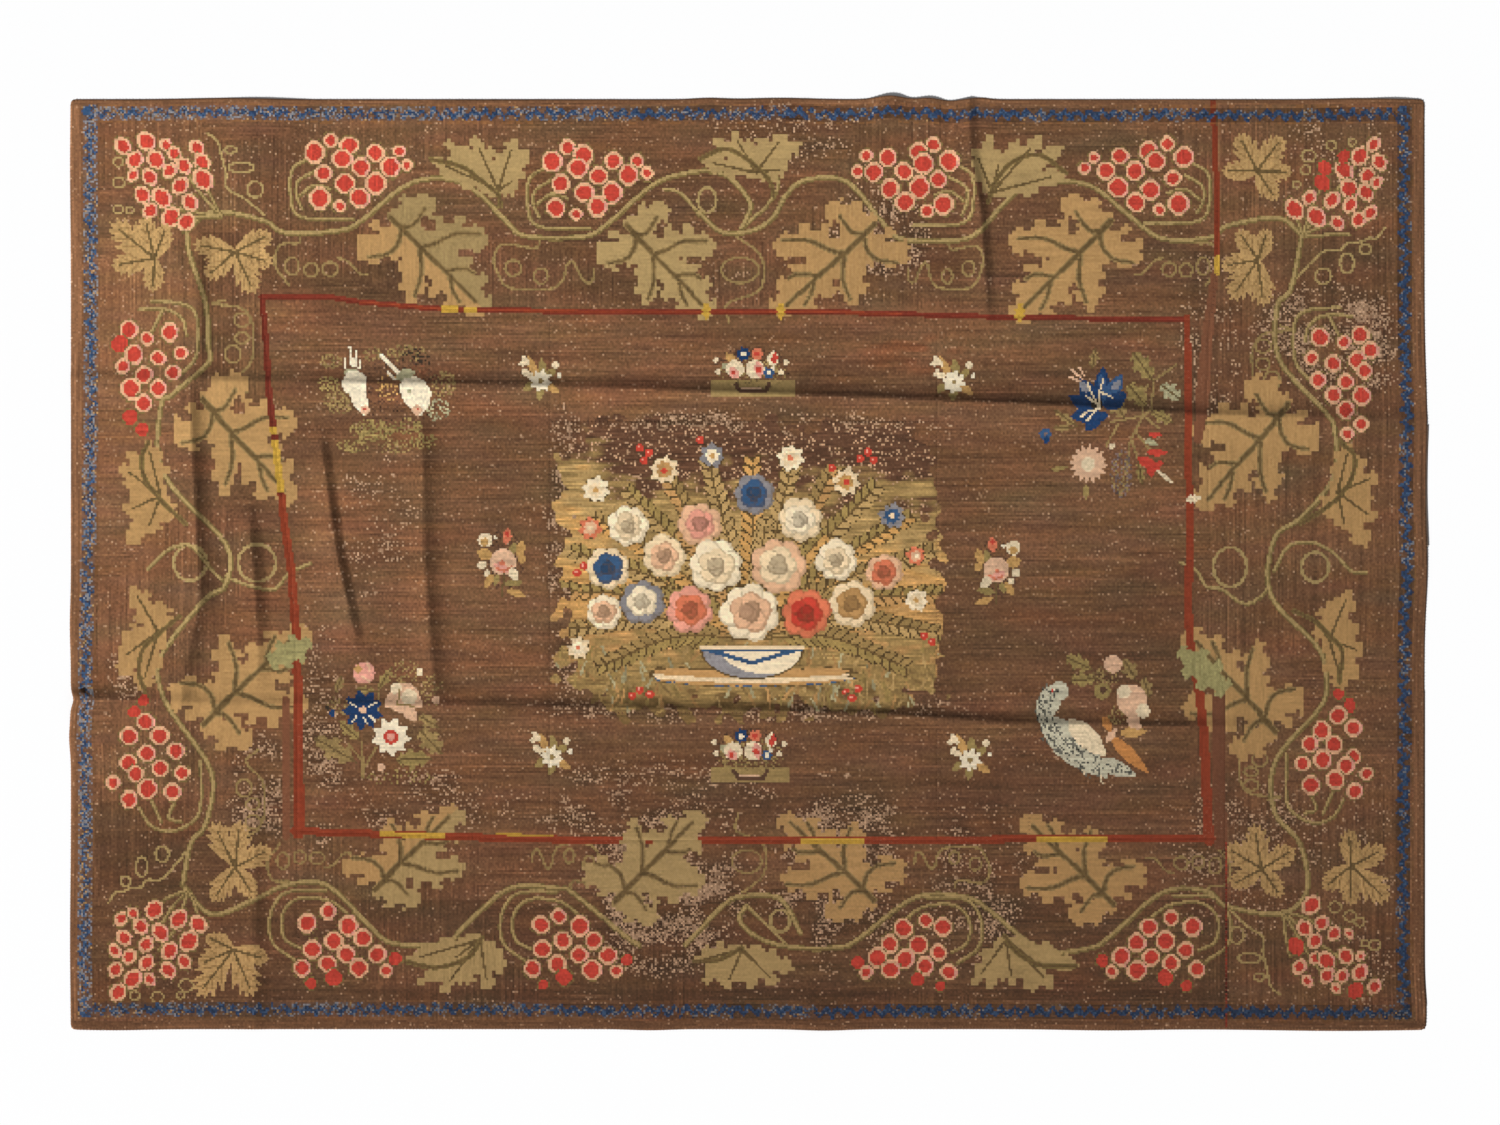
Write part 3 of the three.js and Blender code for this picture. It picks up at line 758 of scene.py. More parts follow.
# Half leaves that grow out of the stem beside the bunches: wool, width of the lobes, base, tips
halfLeaf = {
    "places": [
        ("sage", 11, 498, 190, 432, 158, 446, 140, 474, 136, 462, 168, 514, 139, 527, 148, 516, 178),
        ("sage", 10, 756, 172, 702, 160, 716, 138, 733, 132, 764, 136, 784, 134, 799, 142, 786, 168),
        ("sage", 10, 992, 192, 975, 150, 988, 135, 1000, 158, 1018, 140, 1040, 136, 1062, 146, 1066, 172),
        ("sage", 10, 480, 940, 405, 962, 420, 984, 442, 992, 466, 984, 488, 990, 503, 972, 450, 962),
        ("sage", 10, 742, 950, 694, 962, 704, 982, 726, 988, 752, 988, 776, 984, 792, 970),
        ("sage", 10, 1006, 940, 974, 984, 990, 988, 1012, 984, 1034, 990, 1052, 986, 1076, 966,
         1040, 966),
        ("tan", 12, 160, 496, 146, 441, 130, 452, 120, 466, 128, 492, 124, 512, 127, 545, 146, 532,
         166, 522),
        ("tan", 12, 158, 632, 132, 588, 158, 600, 164, 628, 122, 640, 118, 660, 118, 674, 140, 690,
         132, 650),
        ("tan", 12, 1338, 492, 1350, 444, 1364, 460, 1378, 476, 1372, 500, 1376, 520, 1366, 546,
         1346, 530, 1328, 518),
        ("tan", 12, 1330, 640, 1350, 590, 1330, 602, 1318, 622, 1360, 628, 1364, 652, 1358, 678,
         1344, 688),
    ],
    "spines": [
        [430, 158, 462, 166, 484, 182, 498, 194, 500, 206],
        [700, 158, 724, 148, 744, 156, 768, 178, 774, 196],
        [1066, 172, 1040, 154, 1014, 160, 996, 180, 988, 202], [405, 962, 436, 968, 468, 958, 482, 938],
        [694, 962, 720, 960, 742, 948], [1076, 966, 1042, 966, 1018, 954, 1004, 936],
        [148, 442, 141, 458, 144, 478, 160, 500, 186, 524],
        [180, 616, 158, 634, 142, 650, 138, 672, 144, 690],
        [1340, 443, 1354, 455, 1353, 476, 1338, 498, 1321, 511, 1300, 524],
        [1294, 611, 1315, 621, 1331, 637, 1343, 651, 1340, 682],
    ],
}


def workHalfLeaves():
    for name, half, *points in halfLeaf["places"]:
        base, *tips = np.reshape(points, (-1, 2))
        window = around([base] + tips, 12)
        for i, tip in enumerate(tips):
            inside = lobeMask(blockU[window], blockV[window], base, tip, half, "lobe", 3, 0.13 * i)
            paint(window, inside, wools[name] * (1 + 0.03 * (i % 3 - 1)), 0.06)
        for tip in tips[::2]:
            stroke([base, base + (tip - base) * 0.8], [3.2, 2.0], wools["vein"], 0.12)
    for line in halfLeaf["spines"]:
        stroke(curve(line), 4.8, wools["vineDark"], 0.1)
        stroke(curve(line), 2.6, wools["vein"], 0.1)


# The band round the field, with the stretches where its wool changes
band = {
    "top": [(261, 297), (330, 297), (361, 302), (440, 309), (545, 311), (830, 312), (900, 314), (1000, 317),
            (1185, 320)],
    "left": [(262, 297), (265, 330), (269, 391), (272, 418), (281, 492), (284, 523), (291, 569), (296, 632),
             (298, 700), (299, 823), (298, 834)],
    "bottom": [(294, 831), (379, 834), (496, 838), (629, 841), (800, 841), (1037, 839), (1212, 838)],
    "right": [(1187, 318), (1188, 380), (1189, 498), (1190, 535), (1188, 604), (1190, 641), (1200, 697),
              (1204, 738), (1209, 841)],
    "width": {
        "top": 5.4, "left": [6, 6, 6.5, 7, 7.5, 8, 8.5, 9, 9.5, 10.5, 10.5], "bottom": 7.6,
        "right": [6.5, 7, 7.5, 8, 8, 8.5, 9, 9.5, 10],
    },
    # Faded strips beside it: brightness, width, line
    "beside": [
        (1, 8, 286, 700, 286, 836), (0.8, 13, 1219, 697, 1220, 843),
        (0.95, [7, 11, 14, 8], 1215, 272, 1208, 330, 1202, 400, 1198, 440),
    ],
    # Short seams in other wools: wool, brightness, unevenness, width, line
    "seams": [
        ("rust", 0.84, 0.07, 5.6, 1213, 97, 1216, 170, 1217, 258),
        ("yellow", 1, 0.07, 6, 1217, 258, 1217, 272), ("maroon", 1.2, 0.3, 2.2, 1226, 843, 1226, 1028),
        ("yellow", 0.8, 0.07, 2.4, 496, 834, 552, 836),
    ],
    # Yellow stretches: side, start and end
    "changes": [
        ("top", 441, 458), ("top", 464, 477), ("left", 426, 434), ("left", 440, 492),
        ("bottom", 380, 445), ("bottom", 800, 864), ("bottom", 1037, 1107),
    ],
}


def workBand():
    for bright, thick, *line in band["beside"]:
        stroke(line, thick, wools["fadedRed"] * bright, 0.06)
    for side, thick in band["width"].items():
        stroke(band[side], thick, wools["maroon"] * 1.15 if side == "top" else wools["rust"])
    stroke(band["top"][2:7], 2.4, wools["rust"] * 1.1)
    stroke(band["left"][:5], band["width"]["left"][:5], wools["maroon"], 0.08)
    for name, bright, vary, thick, *line in band["seams"]:
        stroke(line, thick, wools[name] * bright, vary)
    for side, start, end in band["changes"]:
        if side == "left":
            thick, vary, within = band["width"][side], 0.1, lambda u, v: (v > start) & (v < end)
        else:
            thick, vary = 6.4 if side == "top" else 5.4, 0.08
            within = lambda u, v: (u > start) & (u < end)
        stroke(band[side], thick, wools["yellow"], vary, within)


# The zigzag band of blue near the hem, with its centre line along each side
zigzag = {
    "dot": (85.5, 108),  # a blue spot in one corner
    "wave": 12.6,
    "swing": 3.5,
    "thick": 7.2,
    "half": 7.4,
    "lines": {
        "top": [(80, 110.5), (400, 111), (800, 111.5), (1412, 112.5)],
        "right": [(1406.5, 104), (1407, 500), (1405, 1020)],
        "bottom": [(76, 1010), (750, 1012), (1412, 1013)],
        "left": [(89.5, 102), (89.5, 420), (83.5, 700), (84, 1018)],
    },
    # How bright its stitches are, and how pale and broken the blue: at the start, middle and end of a side
    "tone": {"top": (0.96, 0.9, 0.82), "right": (0.94, 0.97, 0.88), "bottom": (0.87, 0.78, 0.72),
             "left": (1.06, 1.06, 1.1)},
    "faded": {"top": (0.9, 0.25, 0.0), "right": (0.12, 0.1, 0.0), "bottom": (0.55, 0.2, 0.0),
              "left": (0.85, 0.9, 0.95)},
}


def workZigzag():
    fine, cloudy = softNoise(2, 2, 81), softNoise(7, 7, 82)
    pick = np.random.default_rng(83).random((rows, columns))
    part = chart["wool"]
    for side, line in zigzag["lines"].items():
        level = side in ("top", "bottom")
        along, across = (stitchU, stitchV) if level else (stitchV, stitchU)
        places, centres = np.array(line).T if level else np.array(line).T[::-1]
        off = across - np.interp(along, places, centres)
        start, end = sorted((places[0], places[-1]))
        within = (along > start) & (along < end)
        wave = (np.abs((along / zigzag["wave"] % 1) - 0.5) * 4 - 1) * zigzag["swing"]
        stops = [start, (start + end) / 2, end]
        fade, tone = (np.interp(along, stops, zigzag[key][side]) for key in ("faded", "tone"))
        fade = np.clip(fade + 0.22 * cloudy, 0, 1)
        isBand = within & (np.abs(off) < zigzag["half"])
        isBlue = isBand & (np.abs(off - wave) < zigzag["thick"] / 2 + 1.1 * fine)
        # Between its points lies brown, with stray blue and tan stitches where the band is worn
        between = isBand & ~isBlue
        lilac = wools["lilac"] * fade[between][:, None] * 0.24
        part[between] = part[between] * (0.58 + 0.14 * fade[between])[:, None] + lilac
        paleShare, midShare = 0.05 + 0.32 * fade, 0.36 + 0.1 * fade
        isWave = isBlue & (speckle < 1 - 0.3 * fade)
        for name, chosen in (
            ("paleBlue", between & (speckle < 0.3 * fade)), ("tan", isBand & (speckle > 1 - 0.05 * fade)),
            ("umber", isBlue & ~isWave & (speckle < 1 - 0.05 * fade)),
            ("paleBlue", isWave & (pick < paleShare)),
            ("midBlue", isWave & (pick >= paleShare) & (pick < paleShare + midShare)),
            ("blue", isWave & (pick >= paleShare + midShare)),
        ):
            tint = wools[name] * 0.84 + wools["slate"] * 0.12
            part[chosen] = tint * (tone * (0.97 + 0.2 * jitter))[chosen][:, None]
        rust = within & (np.abs(np.abs(off) - zigzag["half"] - 1.6) < 1.1) & (fine > 0.2)
        part[rust] = part[rust] * 0.6 + wools["orange"] * (0.22 if side == "top" else 0.13)
    disc(zigzag["dot"], 4.6, wools["midBlue"] * 0.9)


# The hem, and the lining where it shows at the right edge
edging = {
    "inside": (80, 102, 1416, 1021),  # left, upper, right and lower side of the zigzag band
    "streak": 0.16,
    "single": 0.12,
    "lowerDark": 0.72,
    "leftPale": 1.12,
    "paler": (1.35, 1.14),  # painted light: the outermost stitches along the upper and right edges are made paler, where the rim slopes away from the lamp
    "hemWidth": 0.03,
    "hemInset": 0.0016,
    "hemThick": 0.0004,
    # Ends of the lining down the photograph, and how far it peeps out
    "lining": [(548, 424, 0.0028), (1006, 690, 0.0012)],
    "liningWidth": 0.012,
    "liningHeights": (0.0004, 0.0009),  # its underside and upper side
}


def workHem():
    # Outside the zigzag the cloth is worked along its edge
    leftSide, topSide, rightSide, bottomSide = edging["inside"]
    part = chart["wool"]
    left, bottom = stitchU < leftSide, stitchV > bottomSide
    alongX, alongY = softNoise(22, 1, 91), softNoise(1, 22, 92)
    for region, streak in ((left | (stitchU > rightSide), alongY), ((stitchV < topSide) | bottom, alongX)):
        tone = edging["streak"] * streak + edging["single"] * jitter
        part[region] = wools["hem"] * np.exp(tone)[region][:, None]
    part[bottom & (alongX > -0.8)] *= edging["lowerDark"]
    part[left] *= edging["leftPale"]
    for steps, paler in enumerate(edging["paler"], 1):  # painted light on the outermost stitches
        part[-steps, :] *= paler
        part[:, -steps] *= paler


# Small motifs, as marks worked one after another in the photograph's pixels. A mark is its kind,
# its wool and where it is worked: petal and leaf (base, tip, half width), disc (centre, radius),
# line (width, points), flower (centre, radius, petals, eye, size of the eye, turn, fullness),
# spray (centre, half width, half height, share of the stitches)
def work(marks, place=(0, 0), scaleU=1.0, scaleV=1.0):
    def at(u, v):
        return (place[0] + u * scaleU, place[1] + v * scaleV)

    for kind, name, *items in marks:
        for item in items:
            if kind == "line":
                points = np.reshape(item[1:], (-1, 2)) * [scaleU, scaleV] + place
                stroke(points, item[0], wools[name], 0.1)
            elif kind == "flower":
                flower(at(*item[:2]), *item[2:4], wools[name], wools[item[4]], *item[5:])
            elif kind == "disc":
                disc(at(*item[:2]), item[2], wools[name], vary=0.1)
            elif kind == "spray":
                disc(at(*item[:2]), item[2], wools[name], item[3] / item[2], 0.2, item[4])
            elif kind == "leaf":
                petal(at(*item[:2]), at(*item[2:4]), item[4], wools[name], 0.14, teeth=3)
                stroke([at(*item[:2]), at(*item[2:4])], 1.9, wools["vein"], 0.1)
            else:
                petal(at(*item[:2]), at(*item[2:4]), item[4], wools[name], 0.1)


motifs = {
    "daisySprig": [
        ("petal", "leaf", (2, -6, 0, -24, 4), (6, -6, 16, -12, 4), (-6, 2, -18, 10, 4),
         (0, 6, -2, 20, 4)), ("petal", "ochre", (-4, -4, -14, -26, 4), (6, 4, 19, 12, 4)),
        ("petal", "cream", (-8, -6, -21, -8, 3), (-12, -16, -21, -27, 3), (-16, -18, -24, -18, 2.5)),
        ("disc", "cream", (15, -17, 3.4), (-17, -11, 2.6)), ("disc", "white", (19, -6, 2.6)),
        ("flower", "white", (0, 0, 12, 8, "olive", 0.24, 0.2, 0.7)),
    ],
    "basket": [
        ("spray", "umber", (0, -2, 38, 22, 0.35)), ("spray", "olive", (0, 4, 34, 17, 0.4)),
        ("petal", "ochre", (-18, -8, -26, -17, 4)), ("disc", "greyGreen", (-27, -4, 3.6)),
        ("disc", "cream", (-36, -10, 2.6), (-34, 1, 2.8), (34, -8, 2.6), (29, 2, 2.8), (-17, -1, 9),
         (3, -1, 9.2)), ("petal", "pink", (-22, -2, -14, 8, 5), (6, -9, 8, 8, 4.5)),
        ("disc", "coral", (-19, 3, 2.4), (6, 0, 3.2)),
        ("flower", "blue", (-9, -16, 7.5, 7, "white", 0.35)),
        ("flower", "salmon", (5, -16, 6.5, 6, "coral", 0.4)), ("petal", "cream", (20, -4, 22, -20, 5.5)),
        ("petal", "coral", (21, -6, 24, -18, 3)), ("flower", "midBlue", (17, 3, 6, 6, "white", 0.4)),
        ("disc", "white", (21, -2, 2.2)),
    ],
    "roseSprig": [
        ("spray", "umber", (0, -2, 22, 30, 0.2)),
        ("disc", "cream", (-17, -22, 7.2), (-20, 3, 4.4), (-15, 11, 3.4)),
        ("disc", "ochre", (-17, -20, 4), (20, -3, 4.2)), ("disc", "white", (-7, -24, 2)),
        ("petal", "salmon", (4, -18, 6, -34, 4.6)), ("disc", "coral", (5, -28, 2.4)),
        ("petal", "ochre", (-10, -6, -25, -10, 6), (-8, 12, -18, 26, 4), (4, 28, 24, 34, 3.6)),
        ("petal", "leaf", (10, -8, 12, -20, 4), (-4, 12, -8, 24, 3)),
        ("petal", "ochre", (16, -6, 21, -22, 4.4)), ("disc", "peach", (1, 0, 13)),
        ("petal", "pink", (-8, 2, 8, 10, 5)), ("line", "salmon", (2, -6, 6, 2, 9, 9, 5)),
        ("disc", "salmon", (0, 1, 2.8)), ("petal", "cream", (8, 6, 16, 20, 4.6)),
        ("petal", "leaf", (2, 22, 22, 20, 3.4)), ("line", "vein", (2, 2, 12, 0, 34)),
    ],
    "upperRight": [
        ("line", "olive", (2.4, 1176, 365, 1154, 380, 1151, 408, 1143, 416, 1110, 422),
         (2.4, 1141, 418, 1129, 444, 1126, 490), (2.2, 1134, 430, 1150, 450),
         (2.2, 1130, 436, 1138, 460, 1140, 482), (2.2, 1118, 424, 1106, 446),
         (2.2, 1148, 384, 1140, 400, 1143, 416), (2.2, 1143, 416, 1158, 428)),
        ("petal", "coral", (1146, 452, 1168, 453, 3.6), (1137, 457, 1160, 470, 5),
         (1150, 462, 1152, 477, 5), (1156, 466, 1163, 462, 3), (1148, 434, 1162, 435, 2.8)),
        ("leaf", "leaf", (1133, 352, 1153, 381, 8), (1151, 412, 1173, 423, 5.5),
         (1128, 384, 1146, 406, 8.5), (1138, 462, 1142, 484, 3.6)),
        ("leaf", "olive", (1112, 400, 1124, 418, 7), (1095, 350, 1092, 368, 4.5),
         (1055, 411, 1076, 426, 3.5), (1054, 428, 1072, 428, 3.2)),
        ("petal", "leaf", (1086, 484, 1086, 500, 3.2), (1051, 470, 1070, 466, 2.4)),
        ("leaf", "greyGreen", (1161, 385, 1181, 400, 7.5)),
        ("petal", "greyGreen", (1144, 440, 1158, 445, 3.2)),
        ("spray", "lilac", (1121, 474, 11, 24, 0.55)), ("spray", "olive", (1121, 474, 10, 22, 0.25)),
        ("flower", "midBlue", (1045, 434, 6.5, 6, "lilac", 0.3)), ("disc", "blue", (1046, 440, 3)),
        ("flower", "peach", (1088, 464, 20, 16, "cream", 0.36, 0.1, 0.78)),
        ("disc", "cream", (1112, 446, 3)),
        ("petal", "blue", (1100, 408, 1103, 367, 8.5), (1098, 408, 1080, 378, 9),
         (1098, 410, 1069, 396, 8.5), (1098, 412, 1070, 417, 8), (1098, 412, 1086, 431, 8),
         (1100, 412, 1102, 422, 7)),
        ("line", "peach", (2, 1084, 376, 1079, 367), (2, 1082, 379, 1071, 369),
         (2, 1081, 382, 1070, 377)),
        ("petal", "midBlue", (1104, 406, 1122, 374, 8), (1104, 392, 1100, 374, 3.4)),
        ("petal", "paleBlue", (1088, 392, 1080, 382, 4), (1112, 390, 1121, 380, 3.4)),
        ("petal", "blue", (1104, 408, 1127, 393, 8)), ("disc", "dark", (1096, 404, 6)),
        ("line", "cream", (2, 1099, 409, 1092, 394, 1087, 383), (2, 1099, 409, 1099, 392, 1103, 380),
         (2, 1100, 392, 1112, 397), (2, 1099, 409, 1086, 412, 1081, 417), (2, 1096, 410, 1086, 421),
         (2, 1096, 404, 1086, 396), (3.4, 1158, 471, 1171, 482)),
    ],
    "lowerLeft": [
        ("leaf", "olive", (315, 738, 356, 762, 9.5), (420, 730, 442, 754, 9.5), (420, 716, 438, 727, 6),
         (336, 692, 342, 676, 4)), ("spray", "leaf", (400, 778, 34, 8, 0.12)),
        ("flower", "white", (391, 737, 20, 9, "coral", 0.36, 0.1, 0.8)),
        ("disc", "pink", (364, 673, 11), (391, 737, 4)),
        ("line", "peach", (2, 362, 676, 370, 682), (2, 368, 664, 370, 672)),
        ("disc", "ochre", (358, 669, 4)),
        ("line", "olive", (2.6, 363, 778, 362, 742), (2.4, 364, 768, 376, 748), (2.2, 378, 690, 378, 720),
         (2.2, 362, 760, 348, 744)),
        ("leaf", "leaf", (397, 760, 431, 758, 9), (340, 722, 360, 740, 5.5), (379, 688, 392, 667, 4.4),
         (356, 689, 378, 692, 3.6)),
        ("spray", "olive", (405, 672, 18, 11, 0.35), (432, 690, 12, 16, 0.3), (342, 705, 16, 10, 0.3)),
        ("disc", "peach", (404, 698, 15.5), (436, 700, 4), (381, 767, 4)),
        ("petal", "peach", (398, 690, 386, 708, 6), (404, 706, 416, 720, 6.5), (410, 694, 422, 708, 6)),
        ("disc", "cream", (409, 697, 8), (420, 672, 3.6)),
        ("flower", "blue", (363, 710, 21, 9, "peach", 0.17, 0.3, 0.72)),
        ("line", "white", (1.9, 364, 718, 367, 724), (1.9, 357, 716, 352, 722), (1.9, 369, 715, 375, 721),
         (1.9, 370, 706, 377, 702), (1.9, 356, 706, 350, 703)),
        ("petal", "cream", (400, 692, 392, 684, 6)),
        ("line", "olive", (1.9, 399, 690, 398, 704, 414, 706)), ("disc", "blue", (332, 713, 3.4)),
        ("disc", "dark", (328, 708, 2.4)),
    ],
    "upperLeft": [
        ("spray", "olive", (331, 361, 12, 8, 0.5), (339, 402, 15, 12, 0.5), (407, 353, 20, 9, 0.5),
         (443, 384, 14, 13, 0.5), (394, 446, 18, 8, 0.45), (373, 354, 10, 7, 0.5)),
        ("spray", "leaf", (329, 384, 11, 8, 0.5), (372, 430, 22, 11, 0.62), (408, 426, 15, 8, 0.6),
         (353, 446, 16, 7, 0.5), (424, 441, 14, 8, 0.5)), ("spray", "greyGreen", (438, 410, 12, 12, 0.5)),
        ("spray", "ochre", (388, 388, 12, 14, 0.35)), ("spray", "dark", (416, 360, 16, 12, 0.3)),
        ("spray", "umber", (400, 392, 44, 34, 0.16)),
        ("line", "white", (2.8, 350, 347, 352, 366), (2.6, 356, 351, 355, 366), (2.2, 345, 359, 345, 368),
         (2.2, 360, 361, 359, 368), (4, 382, 356, 390, 364, 399, 374), (3, 388, 372, 394, 379)),
        ("spray", "fadedRed", (418, 371, 10, 6, 0.4)),
        ("petal", "greyGreen", (344, 371, 364, 378, 6), (396, 378, 416, 372, 6)),
        ("petal", "white", (350, 370, 362, 400, 12), (354, 382, 365, 416, 8), (346, 376, 347, 394, 4),
         (402, 382, 432, 396, 11), (404, 378, 422, 416, 10), (420, 382, 424, 412, 9)),
        ("disc", "peach", (365, 410, 4.8), (417, 410, 5.4)),
        ("disc", "coral", (364, 409, 1.6), (418, 409, 1.6)), ("disc", "greyGreen", (410, 391, 2.2)),
    ],
    "lowerRight": [
        ("petal", "feather", (1040, 716, 1108, 778, 17), (1056, 684, 1040, 724, 11.5),
         (1096, 760, 1136, 776, 8)),
        ("leaf", "leaf", (1066, 657, 1091, 669, 7), (1071, 680, 1097, 679, 6.5)),
        ("leaf", "olive", (1124, 660, 1136, 680, 6.5), (1143, 678, 1150, 698, 5.5)),
        ("line", "cream", (2, 1080, 766, 1085, 775), (2, 1100, 776, 1102, 783)),
        ("petal", "orange", (1110, 736, 1148, 773, 6.5), (1103, 716, 1110, 732, 4.4)),
        ("disc", "leaf", (1102, 691, 8.4)),
        ("spray", "olive", (1106, 676, 14, 10, 0.4), (1116, 716, 8, 10, 0.4)),
        ("disc", "peach", (1113, 664, 9), (1132, 700, 15)), ("disc", "umber", (1103, 690, 3.6)),
        ("petal", "ochre", (1120, 733, 1146, 731, 5.4)),
        ("petal", "peach", (1132, 700, 1136, 722, 10), (1128, 716, 1140, 729, 6),
         (1106, 742, 1116, 728, 3.6)), ("disc", "cream", (1124, 692, 7), (1143, 711, 7)),
        ("petal", "cream", (1068, 720, 1106, 756, 11)), ("disc", "feather", (1059, 691, 9.6)),
        ("disc", "coral", (1054, 691, 2.8)), ("disc", "white", (1054, 691, 1.4)),
    ],
}


def speckleBird():
    # Dark dashes over the bird's breast, neck and tail: start and end of a strip, half width, count
    random = np.random.default_rng(101)
    for startU, startV, endU, endV, half, count in (
        (1040, 700, 1046, 728, 8, 34), (1046, 730, 1100, 772, 11, 120), (1104, 764, 1130, 774, 5, 30),
        (1052, 686, 1042, 706, 8, 26),
    ):
        stepU, stepV = endU - startU, endV - startV
        reach = math.hypot(stepU, stepV)
        for _ in range(count):
            share, off = random.random(), random.uniform(-half, half)
            u = startU + stepU * share - stepV / reach * off
            v = startV + stepV * share + stepU / reach * off
            stroke([(u, v), (u + stepU / reach * 2, v + stepV / reach * 2)], 1.5, wools["slate"], 0.3)


def workField():
    for place, size in (((954, 382), 1), ((970.5, 760), 1), ((541, 381), 0.95), ((552, 757), 0.95)):
        work(motifs["daisySprig"], place, size, size)
    for place, left, top, wide, high in (((752, 370), 712.4, 380.5, 82, 15), ((750, 752), 712, 767, 77, 13)):
        window = around([left, top, left + wide, top + high], 0)  # the strip that the basket stands on
        paint(window, np.ones(stitchU[window].shape, bool), wools["olive"] * 1.12, 0.07)
        stroke([(left + 2, top + 1), (left + wide * 0.4, top + 1)], 2.4, wools["leaf"] * 1.1)
        work(motifs["basket"], place)
        start, end, level = place[0] - 16, place[0] + 17, top + 8
        rail = [(start, level - 4), (start + 4, level + 3), (end - 4, level + 3), (end, level - 4)]
        stroke(rail, 4, wools["umber"])
        stroke([(start + 6, level), (end - 8, level)], 2, wools["peach"])
    work(motifs["roseSprig"], (502, 562))
    work(motifs["roseSprig"], (997, 570), -0.95, 1)
    for name in ("upperLeft", "upperRight", "lowerLeft", "lowerRight"):
        work(motifs[name])
    speckleBird()


# The block in the middle: a generic bouquet in a bowl on a mottled ground, finely worked
middle = {
    "low": (563, 425),
    "high": (940, 710),
    "round": 60,
    "ragged": 7,
    # Layers of the ground from the upper end to the lower: height, wool
    "layers": [
        (425, "umber"), (478, "umber"), (508, "olive"), (540, "sage"), (580, "ochre"), (628, "tan"),
        (652, "olive"), (692, "olive"), (712, "vein"),
    ],
    "bright": 1.12,  # its wools kept their colours better than the rest
    "warm": (1.06, 1.0, 0.93),
    "specks": 0.12,  # share of pale specks on the dark part
    "foot": (752, 640),  # where the fronds start
    # Fronds: turn in degrees from straight up, length, wool, wool of the shaded side
    "fronds": [
        (-86, 176, "sage", "olive"), (-74, 190, "tan", "leaf"), (-62, 196, "sage", "leaf"),
        (-50, 198, "ochre", "olive"), (-38, 196, "sage", "leaf"), (-26, 190, "tan", "olive"),
        (-13, 188, "sage", "leaf"), (0, 186, "ochre", "olive"), (12, 190, "sage", "leaf"),
        (24, 192, "tan", "olive"), (37, 198, "sage", "leaf"), (50, 200, "ochre", "leaf"),
        (62, 196, "sage", "olive"), (75, 188, "tan", "leaf"), (87, 178, "sage", "olive"),
        (-68, 120, "ochre", "leaf"), (-30, 128, "tan", "leaf"), (6, 122, "sage", "olive"),
        (32, 126, "ochre", "leaf"), (70, 118, "tan", "olive"), (-100, 150, "leaf", "olive"),
        (100, 150, "leaf", "olive"),
    ],
    "flat": 0.94,  # the fronds' height as a share of their width
    "tufts": 260,
    # Roses: middle, radius, outer wool, inner wool
    "roses": [
        (628, 526, 19, "white", "cream"), (642, 602, 21, "paleBlue", "white"),
        (608, 568, 20, "cream", "midBlue"), (604, 612, 16, "white", "peach"),
        (664, 556, 20, "cream", "peach"), (852, 604, 21, "cream", "tan"),
        (884, 572, 17, "peach", "salmon"), (836, 560, 19, "white", "cream"),
        (700, 524, 20, "peach", "pink"), (800, 520, 21, "cream", "white"),
        (754, 494, 19, "paleBlue", "midBlue"), (690, 610, 22, "pink", "salmon"),
        (806, 614, 23, "salmon", "coral"), (716, 566, 25, "white", "cream"),
        (778, 566, 26, "peach", "cream"), (750, 612, 28, "white", "peach"),
    ],
    # Open flowers: middle, radius, petals, outer wool, inner wool, eye
    "blooms": [
        (596, 490, 14, 8, "white", "cream", "ochre"), (664, 470, 15, 8, "cream", "tan", "coral"),
        (712, 456, 13, 7, "paleBlue", "white", "ochre"), (790, 458, 14, 8, "white", "cream", "salmon"),
        (846, 482, 15, 8, "cream", "ochre", "coral"), (892, 516, 14, 8, "paleBlue", "midBlue", "cream"),
        (590, 528, 12, 7, "salmon", "peach", "cream"), (916, 600, 12, 7, "white", "cream", "ochre"),
        (578, 648, 12, 8, "cream", "white", "salmon"), (916, 556, 10, 6, "salmon", "peach", "white"),
    ],
    "bowl": ((752, 648), 50, 0.6),  # middle of its rim, half width, depth as a share of that
    # The pale cloth under the bowl: middle, half width, half height
    "cloth": ((752, 678), 98, 8),
    "berries": [
        640, 448, 649, 453, 644, 460, 868, 452, 860, 459, 874, 460, 584, 566, 577, 573, 924, 636,
        932, 642, 640, 690, 650, 694, 632, 696, 846, 692, 858, 689, 852, 698, 832, 468, 700, 440,
    ],
}


def frond(line, name, shadeName, random):
    # A stem with pairs of narrow leaves, larger near its foot
    count = len(line)
    for i in range(count // 4, count):
        along = line[i] - line[i - 1]
        along = along / np.hypot(*along)
        reach = random.uniform(15, 21) * (1.1 - 0.5 * i / count)
        for sign in (-1, 1):
            side = along * 0.8 + np.array([along[1], -along[0]]) * sign * 0.75
            tip = line[i] + side * reach
            petal(line[i], tip + along, 4.6, wools["vein"] * random.uniform(0.5, 0.8), 0.1)
            colour = wools[name if sign * along[0] < 0.3 else shadeName]
            petal(line[i], tip, 3.1, colour * random.uniform(0.9, 1.2), 0.08)
    stroke(line, 1.9, wools["vein"], 0.1)


